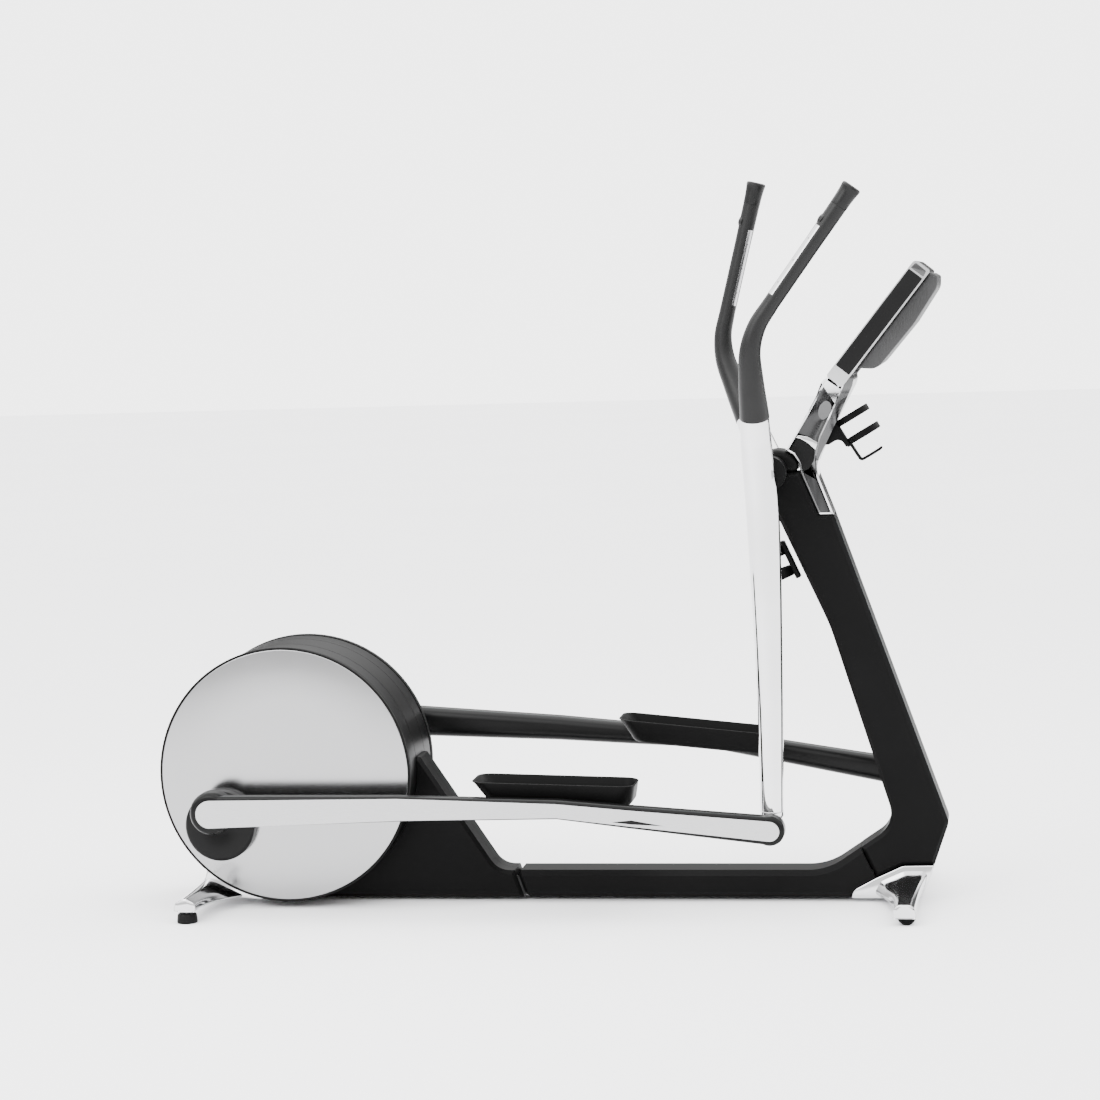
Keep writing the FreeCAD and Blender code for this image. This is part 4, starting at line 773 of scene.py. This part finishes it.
def makeKnuckle(word, side, place):
    end = -linkage["leverLength"]
    plane = side * lever["plane"]
    rows = [(6, 24.0), (4, 26.0), (0, 26.6), (-5, 26.4), (-9, 24.2), (-11, 22.4), (-13, 22.0), (-16, 23.6)]
    line = [[0.4, plane, knuckle["top"] + z, r] for z, r in rows]
    collar = ringsToMesh("collar", tubeRings(line, Vector((0, 0, -1)), Vector((0, 0, -1)), 64), place, 50)
    ballR = knuckle["ballRadius"]
    ball = lathe("ball", [(ballR * math.cos(math.radians(a)),
                           plane + side * ballR * math.sin(math.radians(a)))
                          for a in range(-90, 91, 10)], 0, end, 64, place, closed=False, smooth=60)
    reach = arm["inner"] - arm["turnIn"] - 0.5
    flange = [(0.01, lever["plane"]), (24.5, lever["plane"]), (25.5, lever["plane"] + 6), (24.0, reach - 3),
              (26.5, reach - 1.5),
              (26.5, reach), (12.0, reach), (12.0, reach + 20), (0.01, reach + 20)]
    stub = lathe("stub", [(r, side * y) for r, y in flange], 0, end, 64, place, closed=False)
    placed(joined("leverFoot" + word.capitalize(), collar, ball, stub), "lever_" + word, "chromePolish",
           "tube_chrome",
           "lever_end_" + word)


for word, side in sides.items():
    makeLever(word, side)
print("levers made")

console = {"x": 1245.0, "z": 1177.0, "slope": 51.4, "length": 312.0, "half": 195.0, "depth": 42.0}


def consolePoint(along, deep, radius=0):
    ux, uz = turned(1, 0, console["slope"])
    return console["x"] + ux * along + uz * deep, console["z"] + uz * along - ux * deep, radius


stem = {"half": 45.0, "topHalf": 115.0, "rim": 4.2, "sink": 10.0, "flareStart": 1075.0, "flareEnd": 1168.0,
        "edge": 1.4, "hollow": 9.0, "frontEdge": 17.0}


def stemHalf(z):
    t = min(max((z - stem["flareStart"]) / (stem["flareEnd"] - stem["flareStart"]), 0), 1)
    return stem["half"] + (stem["topHalf"] - stem["half"]) * t * t * (3 - 2 * t)


def stemPatch(name, rows, side, hollow, lift, columns=14, between=6):
    # a panel in the stem's side, given by its left and right ends from bottom to top
    line = smoothLine([(left[0], left[1], right[0], right[1]) for left, right in rows], between)
    top, bottom = [], []
    for x0, z0, x1, z1 in line:
        upper, lower = [], []
        for k in range(columns + 1):
            v = k / columns
            x, z = x0 + (x1 - x0) * v, z0 + (z1 - z0) * v
            deep = hollow * math.sin(math.pi * v) ** 0.8 if hollow else 0.0
            upper.append((x, side * (stemHalf(z) + lift - deep), z))
            lower.append((x, side * (stemHalf(z) - stem["sink"] - hollow - 3), z))
        top.append(upper)
        bottom.append(lower)
    return thickSheet(name, top, bottom)


def flatPanel(name, corners, side, lift, edge, steps=5):
    low, high = sorted((side * (stem["half"] - stem["sink"] - 3), side * (stem["half"] + lift)))
    return sidePlate(name, corners, low, high, edge, steps=steps)


def stemSideShift(x, z):
    # how far the side face stops short of the front edge
    middle = 1174 + (z - 990) * 0.56
    if x < middle or z < 975:
        return 0.0
    return stem["frontEdge"] * min(1.0, (z - 975) / 60) * min(1.0, (x - middle) / 16)


def makeStem():
    back = console["depth"] + 0.5
    under, low, start = consolePoint(30, back), consolePoint(-0.5, back), consolePoint(-0.5, 0)
    outline = roundedLoop([(1213.6, 866.6, 5), (1246, 866.6), (1206, 972, 70), (1299, 1158, 40), under, low,
                           start,
                           (1143, 1011), (1159.5, 1001), (1172, 981), (1174.5, 961.5)], 8)
    full = divided(outline, 9)
    edge, rim = insetLoop(full, stem["edge"]), insetLoop(full, stem["rim"])
    shifts = [stemSideShift(x, z) for x, z in full]
    lifts = [max(stem["edge"], shift) for shift in shifts]
    edge = [(x - shift, z) for (x, z), shift in zip(edge, shifts)]
    rim = [(x - shift, z) for (x, z), shift in zip(rim, shifts)]
    rings = []
    for sign in (-1, 1):
        rows = [[(x, sign * (stemHalf(z) - stem["sink"] - 10), z) for x, z in rim],
                [(x, sign * (stemHalf(z) - 0.8), z) for x, z in rim],
                [(x, sign * stemHalf(z), z) for x, z in edge],
                [(x, sign * (stemHalf(z) - lift), z) for (x, z), lift in zip(full, lifts)]]
        rings += rows if sign < 0 else rows[::-1]
    skin = ringsToMesh("stemCasting", rings, machineFrame, 28)
    for name in ("castingGrey", "castingPolish"):
        skin.data.materials.append(finishes[name])
    for face in skin.data.polygons:
        place = machineFrame.inverted() @ face.center
        rimFace = abs(place.y) > stemHalf(place.z) - 1.6
        face.material_index = 1 if rimFace or place.z < 985 or place.x < 1150 + 0.46 * (place.z - 985) else 0
    bright, dark, inserts, sleeves = [], [], [], []
    for side in sides.values():
        hollowRows = [((1172, 1048), (1213, 1024)), ((1182, 1064), (1221, 1042)),
                      ((1202, 1101), (1237, 1076)),
                      ((1217, 1133), (1249, 1100)), ((1229, 1160), (1255, 1112))]
        capRows = [((1229, 1160), (1255, 1112)), ((1233, 1165), (1262, 1124)), ((1238, 1168), (1272, 1143))]
        dark.append(stemPatch("hollow", hollowRows, side, stem["hollow"], -1.2))
        bright.append(stemPatch("capWeb", capRows, side, 0, -0.8, 8, 3))
        band = [(1166, 1037), (1172, 1043, 3), (1193, 1039, 24), (1214, 1026), (1209, 1010),
                (1190, 1027, 24), (1174, 1036, 6)]
        bright.append(flatPanel("band", band, side, -0.2, 0.8))
        insert = [(1151, 1008), (1168, 1035, 5), (1180, 1034, 14), (1206, 1009, 3), (1204, 985, 12),
                  (1193, 968, 6),
                  (1178, 962, 3), (1176, 981, 14), (1163, 1002, 10)]
        inserts.append(flatPanel("insert", insert, side, -1.0, 0.8))
        sleeve = [(1181, 961, 3), (1213.4, 872, 5), (1236, 872, 2), (1222, 908), (1208, 946, 30),
                  (1205, 972, 20), (1196, 968, 5)]
        sleeves.append(flatPanel("sleeve", sleeve, side, -0.9, 0.5))
    placed(skin, "frame", "castingPolish", "polished_casting", "stem")
    placed(joined("stemWebs", *bright), "frame", "castingPolish", "polished_casting")
    placed(joined("stemHollows", *dark), "frame", "castingDark", "polished_casting")
    placed(joined("stemInserts", *inserts), "frame", "panelBlack", "polished_casting")
    placed(joined("stemSleeve", *sleeves), "frame", "brushedDark", "polished_casting")


makeStem()

ribs = {"count": 15, "width": 2.2, "height": 1.8, "length": 26.0, "shellDepth": 40.0}


def makeConsoleShell():
    depth, length, rear = console["depth"], console["length"], ribs["shellDepth"]
    half = console["half"] - 15
    outline = [consolePoint(52, depth + 0.3), consolePoint(length - 2, depth + 0.3),
               consolePoint(length, depth + 17, 6),
               consolePoint(length - 20, depth + rear - 8, 30), consolePoint(200, depth + rear, 100),
               consolePoint(76, depth + rear - 4, 30)]
    shell = sidePlate("consoleRearShell", outline, -half, half, 9, segments=4)
    placed(shell, "frame", "shellGrey", "shell_grey", "console_rear_shell")
    start, end = Vector((*consolePoint(105, depth + 20)[:2],)), Vector((*consolePoint(length - 40,
                                                                                      depth + 20)[:2],))
    rows = []
    for word, side in sides.items():
        rows.append(repeated("shellRibs" + word.capitalize(), ribs["count"], machineFrame,
                             (start.x, side * (half - 0.4), start.y), (end.x, side * (half - 0.4), end.y),
                             (ribs["width"], ribs["height"], ribs["length"]), "shellGrey"))
    fins = joined("consoleVentRibs", *rows)
    fins.data.materials.clear()
    placed(fins, "frame", "shellGrey", "shell_grey")


def makeConsoleSides():
    panels, caps = [], []
    length, depth, y = console["length"], console["depth"], console["half"]
    for side in sides.values():
        low, high = sorted((side * (y - 6), side * (y + 0.9)))
        outline = [consolePoint(31, 2.2, 1.5), consolePoint(length - 24, 2.2, 1.5),
                   consolePoint(length - 24, depth - 3.6, 1.5),
                   consolePoint(31, depth - 3.6, 1.5)]
        panels.append(sidePlate("panel", outline, low, high, 0.6))
        outline = [consolePoint(length - 20, 3.5, 2), consolePoint(length - 5, 6, 4),
                   consolePoint(length - 6, depth - 7, 4),
                   consolePoint(length - 20, depth - 4.5, 2)]
        caps.append(sidePlate("cap", outline, low, high, 0.8))
    placed(joined("consoleSidePanels", *panels), "frame", "panelBlack", "panel_black", "console_side_panels")
    placed(joined("consoleEndCaps", *caps), "frame", "castingGrey", "panel_black")


makeConsoleSides()
makeConsoleShell()
print("stem and console made")

holder = {"radius": 37.0, "band": 3.0, "slope": 30.0, "bandHeight": 14.5, "rodRadius": 3.0}


def bandRings(centre, axis, height, radius, band, count=72):
    across = Vector((0, 1, 0))
    up = axis.cross(across).normalized()
    loop = roundedLoop([(radius, 0, 1), (radius + band, 0, 1.2), (radius + band, height, 1.2),
                        (radius, height, 1)], 3)
    rings = []
    for k in range(count):
        a = 2 * math.pi * k / count
        way = across * math.cos(a) + up * math.sin(a)
        rings.append([centre + way * r + axis * h for r, h in loop])
    return rings


def makeFrontHolder():
    a = math.radians(holder["slope"])
    out, up = Vector((math.cos(a), 0, math.sin(a))), Vector((-math.sin(a), 0, math.cos(a)))
    anchor, reach = Vector((1243, 0, 1065)), holder["radius"] + holder["band"]
    parts = []
    for drop in (15.5, 61.5):
        rings = bandRings(anchor - up * drop + out * (9 + reach), up, holder["bandHeight"], holder["radius"],
                          holder["band"])
        parts.append(ringsToMesh("band", rings, machineFrame, 40, closed=True))
    for across in (-12, 12):
        foot = [(1229, 1019), (1237, 1019, 8), (1262, 1034, 14), (1275, 1012, 4), (1284, 1018, 4),
                (1256, 1066, 4), (1251, 1062, 6),
                (1240, 1041, 10)]
        parts.append(sidePlate("strut", foot, across - 4, across + 4, 1.5))
    plate = [tuple((anchor + out * u + up * v).xz) + (2,) for u, v in ((5, -64), (12, -64), (12, 1), (5, 1))]
    parts.append(sidePlate("plate", plate, -15, 15, 1.5))
    rod = [anchor + out * u - up * v for u, v in ((13, 58), (14.5, 98), (17, 102), (22, 103), (60, 103),
                                                  (66, 102))]
    for across in (-9, 9):
        line = smoothLine([[p.x, across, p.z, holder["rodRadius"]] for p in rod], 6)
        parts.append(ringsToMesh("rod", tubeRings(line, count=16), machineFrame, 50))
    cross = [[Vector((rod[-1].x + math.cos(t) * 2.8, y, rod[-1].z + math.sin(t) * 2.8))
              for t in [2 * math.pi * k / 16 for k in range(16)]] for y in (-9, 0, 9)]
    parts.append(ringsToMesh("rodTip", cross, machineFrame, 50))
    placed(joined("frontBottleHolder", *parts), "frame", "trayBlack", "holder_black", "front_holder")


def makeRearHolder():
    parts = []
    lean = Vector((-0.36, 0, 0.93)).normalized()
    for height in (738.0, 784.0):
        centre = Vector((1118 - (height - 738) * 0.38, 0, height - 20))
        parts.append(ringsToMesh("band", bandRings(centre, lean, 22, holder["radius"], holder["band"]),
                                 machineFrame, 40, closed=True))
    spine = [(1158, 722, 3), (1168, 726), (1132, 806), (1120, 806, 4)]
    parts.append(sidePlate("spine", spine, -16, 16, 2))
    placed(joined("rearBottleHolder", *parts), "frame", "trayBlack", "holder_black", "rear_holder")


makeFrontHolder()
makeRearHolder()
print("holders made")


def resampled(loop, count):
    # the same closed outline with evenly spaced points, starting at its first one
    points = [Vector(p) for p in loop]
    lengths = [0.0]
    for a, b in zip(points, points[1:] + points[:1]):
        lengths.append(lengths[-1] + (b - a).length)
    found, i = [], 0
    for k in range(count):
        goal = lengths[-1] * k / count
        while lengths[i + 1] < goal:
            i += 1
        t = (goal - lengths[i]) / max(lengths[i + 1] - lengths[i], 1e-9)
        found.append(points[i].lerp(points[(i + 1) % len(points)], t))
    return found


def castArm(name, root, tip, rootY, tipY, side, power, sections=16, count=72):
    # a foot arm that sweeps from a broad root to a slim tip
    first, last = resampled(roundedLoop(root, 5), count), resampled(roundedLoop(tip, 5), count)
    rings = []
    for k in range(sections + 1):
        t = k / sections
        ease = 1 - (1 - t) ** power
        y = rootY + (tipY - rootY) * t
        rings.append([(a.x + (b.x - a.x) * ease, side * y, a.y + (b.y - a.y) * ease) for a,
                      b in zip(first, last)])
    for inset, out in ((0.93, 2.0), (0.80, 3.4)):
        centre = sum((Vector(p) for p in last), Vector((0, 0))) / count
        rings.append([(centre.x + (p.x - centre.x) * inset, side * (tipY + out - 3.4),
                       centre.y + (p.y - centre.y) * inset) for p in last])
    return ringsToMesh(name, rings, machineFrame, 50)


frontFoot = {"x": 1393.0, "half": 25.0, "rootY": 50.0, "tipY": 303.0}


def makeFrontFoot():
    x, half = frontFoot["x"], frontFoot["half"]
    flange = [(1267, 9), (1270, 22, 6), (1277, 30, 6), (1320, 53.4, 10), (1382, 82, 16), (1452, 83, 3),
              (1436, 40, 30), (1420, 9, 4)]
    parts = [sidePlate("block", flange, -56, 56, 2.5)]
    for side in sides.values():
        root = [(1312, 16, 8), (1418, 12, 6), (1432, 40, 20), (1440, 72, 12), (1386, 72, 26), (1330, 48, 26)]
        tip = [(x - half, 16, 5), (x + half, 16, 5), (x + half - 1, 38, 12), (x + half - 12, 47, 10),
               (x - half + 12, 47, 10),
               (x - half + 1, 38, 12)]
        parts.append(castArm("footArm", root, tip, frontFoot["rootY"], frontFoot["tipY"], side, 2.6))
    placed(joined("frontFootCasting", *parts), "frame", "castingPolish", "polished_casting", "front_foot")


rearFoot = {"x": -196.0, "half": 25.0, "rootY": 96.0, "tipY": 303.0, "saddleRadius": 289.5}


def makeRearFoot():
    x, half = rearFoot["x"], rearFoot["half"]
    saddle = [(-62, 15, 3), (x - 26, 26, 6), (x - 24, 48, 10), (x - 6, 62, 14)]
    saddle += arcPoints(0, linkage["crankHeight"], rearFoot["saddleRadius"], 228, 255, 9)
    parts = [sidePlate("saddle", saddle, -110, 110, 2.5)]
    for side in sides.values():
        root = [(x + 112, 18, 4), (x - half, 26, 6), (x - half + 2, 50, 10), (x + 4, 66, 14),
                (x + 50, 42, 24)]
        tip = [(x + half, 27, 5), (x - half, 27, 5), (x - half + 1, 46, 12), (x, 59, 14),
               (x + half - 1, 46, 12)]
        parts.append(castArm("footArm", root, tip, rearFoot["rootY"], rearFoot["tipY"], side, 2.4))
    placed(joined("rearFootCasting", *parts), "frame", "castingPolish", "polished_casting", "rear_foot")


pad = {"plane": 284.0, "notches": 10}


def makePads():
    made = []
    for side in sides.values():
        rings = []
        for radius, height, wave in ((20.5, 0.0, 0), (22.4, 0.8, 0), (23.0, 3.0, 0), (22.6, 9.0, 0.2),
                                     (21.8, 15.0, 0.8),
                                     (21.2, 18.5, 1.4), (20.2, 20.6, 1.6), (18.0, 21.9, 1.0),
                                     (11.0, 22.0, 0)):
            ring = []
            for k in range(80):
                a = 2 * math.pi * k / 80
                r = radius - wave * (0.5 + 0.5 * math.cos(pad["notches"] * a))
                ring.append((rearFoot["x"] + r * math.cos(a), side * pad["plane"] + r * math.sin(a), height))
            rings.append(ring)
        made.append(ringsToMesh("pad", rings, machineFrame, 50))
    placed(joined("rearPads", *made), "frame", "rubberBlack", "pad_rubber", "rear_pads")


roller = {"radius": 20.0, "width": 24.0, "plane": 284.0, "x": 1397.0, "edge": 5.0, "bore": 4.05}


def makeRollers():
    for word, side in sides.items():
        half, r, edge = roller["width"] / 2, roller["radius"], roller["edge"]
        profile = [(roller["bore"], -half + 1), (8, -half + 1), (9, -half + 2.5),
                   (r - edge - 2, -half + 2.5), (r - edge, -half)]
        profile += arcPoints(r - edge, -half + edge, edge, -90, 0,
                             5) + arcPoints(r - edge, half - edge, edge, 0, 90, 5)
        profile += [(r - edge - 2, half - 2.5), (9, half - 2.5), (8, half - 1), (roller["bore"], half - 1)]
        wheel = lathe("roller" + word.capitalize(), [(radius, side * roller["plane"] + y) for radius,
                                                     y in profile],
                      roller["x"], r, 64)
        placed(wheel, "roller_" + word, "rubberBlack", "roller_black", "transport_roller_" + word)


makeFrontFoot()
makeRearFoot()
makePads()
makeRollers()
print("feet made")

studio = {"floorSize": 30.0, "skyStrength": 6.2, "wallStrength": 1.9, "backdrop": 4.3, "keyPower": 130.0,
          "topPower": 90.0}


def mathNode(tree, operation, first, second):
    node = tree.nodes.new("ShaderNodeMath")
    node.operation = operation
    for socket, value in zip(node.inputs, (first, second)):
        if isinstance(value, (int, float)):
            socket.default_value = value
        else:
            tree.links.new(value, socket)
    return node.outputs["Value"]


def greyRamp(tree, factor, stops):
    ramp = tree.nodes.new("ShaderNodeValToRGB")
    elements = ramp.color_ramp.elements
    for i, (position, value) in enumerate(stops):
        stop = elements[i] if i < 2 else elements.new(position)
        stop.position, stop.color = position, (value, value, value, 1)
    tree.links.new(factor, ramp.inputs["Fac"])
    return ramp.outputs["Color"]


def makeStudio():
    size = studio["floorSize"]
    mesh = bpy.data.meshes.new("floor")
    mesh.from_pydata([(-size, -size, 0), (size, -size, 0), (size, size, 0), (-size, size, 0)], [],
                     [(0, 1, 2, 3)])
    floor = bpy.data.objects.new("floor", mesh)
    scene.collection.objects.link(floor)
    floor.data.materials.append(finish("floorWhite", grey(0.90), grey(0.92), (0.6, 0.7), drift=0.6, grain=20,
                                       depth=0.0, specular=0.1))
    world = bpy.data.worlds.new("studio")
    scene.world = world
    world.use_nodes = True
    tree = world.node_tree
    tree.nodes.clear()
    output, mix = tree.nodes.new("ShaderNodeOutputWorld"), tree.nodes.new("ShaderNodeMixShader")
    seen, lit = tree.nodes.new("ShaderNodeBackground"), tree.nodes.new("ShaderNodeBackground")
    seen.inputs["Color"].default_value, seen.inputs["Strength"].default_value = (1, 1, 1,
                                                                                 1), studio["backdrop"]
    rays, place = tree.nodes.new("ShaderNodeLightPath"), tree.nodes.new("ShaderNodeTexCoord")
    split, turn = tree.nodes.new("ShaderNodeSeparateXYZ"), tree.nodes.new("ShaderNodeMath")
    turn.operation = "ARCTAN2"
    tree.links.new(place.outputs["Generated"], split.inputs["Vector"])
    tree.links.new(split.outputs["Y"], turn.inputs[0])
    tree.links.new(split.outputs["X"], turn.inputs[1])
    around = mathNode(tree, "ADD", mathNode(tree, "DIVIDE", turn.outputs["Value"], 2 * math.pi), 0.5)
    # softboxes around the walls with dark gaps between them, and a bright ceiling
    walls = greyRamp(tree, around, ((0.0, 0.85), (1.0, 0.85), (0.05, 0.9), (0.085, 0.25), (0.12, 0.9),
                                    (0.20, 1.0), (0.305, 1.0),
                                    (0.325, 0.12), (0.385, 0.16), (0.41, 0.9), (0.60, 1.0), (0.66, 0.8),
                                    (0.69, 0.1),
                                    (0.81, 0.1), (0.84, 0.8)))
    ceiling = greyRamp(tree, split.outputs["Z"], ((0.0, 0.0), (1.0, 1.0), (0.16, 0.0), (0.42, 1.0)))
    strength = mathNode(tree, "ADD", mathNode(tree, "MULTIPLY", walls, studio["wallStrength"]),
                        mathNode(tree, "MULTIPLY", ceiling, studio["skyStrength"] - studio["wallStrength"]))
    tree.links.new(strength, lit.inputs["Strength"])
    tree.links.new(rays.outputs["Is Camera Ray"], mix.inputs["Fac"])
    tree.links.new(lit.outputs["Background"], mix.inputs[1])
    tree.links.new(seen.outputs["Background"], mix.inputs[2])
    tree.links.new(mix.outputs["Shader"], output.inputs["Surface"])


def makeLight(name, place, target, size, power):
    light = bpy.data.lights.new(name, "AREA")
    light.shape, light.size, light.energy = "SQUARE", size, power
    obj = bpy.data.objects.new(name, light)
    scene.collection.objects.link(obj)
    obj.location = place
    obj.rotation_euler = (Vector(target) - Vector(place)).to_track_quat("-Z", "Y").to_euler()


camera = {"azimuth": 9.091, "elevation": 5.0, "roll": -1.774, "distance": 6.5, "lens": 96.18,
          "aim": (623.9, -134.0, 806.3)}


def makeCamera():
    a, e, roll = (math.radians(camera[key]) for key in ("azimuth", "elevation", "roll"))
    back = Vector((math.sin(a) * math.cos(e), -math.cos(a) * math.cos(e), math.sin(e)))
    right = (-back).cross(Vector((0, 0, 1))).normalized()
    up = right.cross(-back)
    right, up = (right * math.cos(roll) + up * math.sin(roll), -right * math.sin(roll) + up * math.cos(roll))
    lens = bpy.data.cameras.new("camera")
    lens.sensor_width, lens.lens, lens.clip_end = 36.0, camera["lens"], 100.0
    obj = bpy.data.objects.new("camera", lens)
    scene.collection.objects.link(obj)
    turn = Matrix((right, up, back)).transposed().to_4x4()
    obj.matrix_world = Matrix.Translation(at(*camera["aim"]) + back * camera["distance"]) @ turn
    scene.camera = obj


makeStudio()
makeLight("keyLight", (-2.2, -3.2, 3.4), (0, 0, 0.7), 2.6, studio["keyPower"])
makeLight("topLight", (0.4, 0.6, 4.0), (0, 0, 0.4), 3.0, studio["topPower"])
makeCamera()
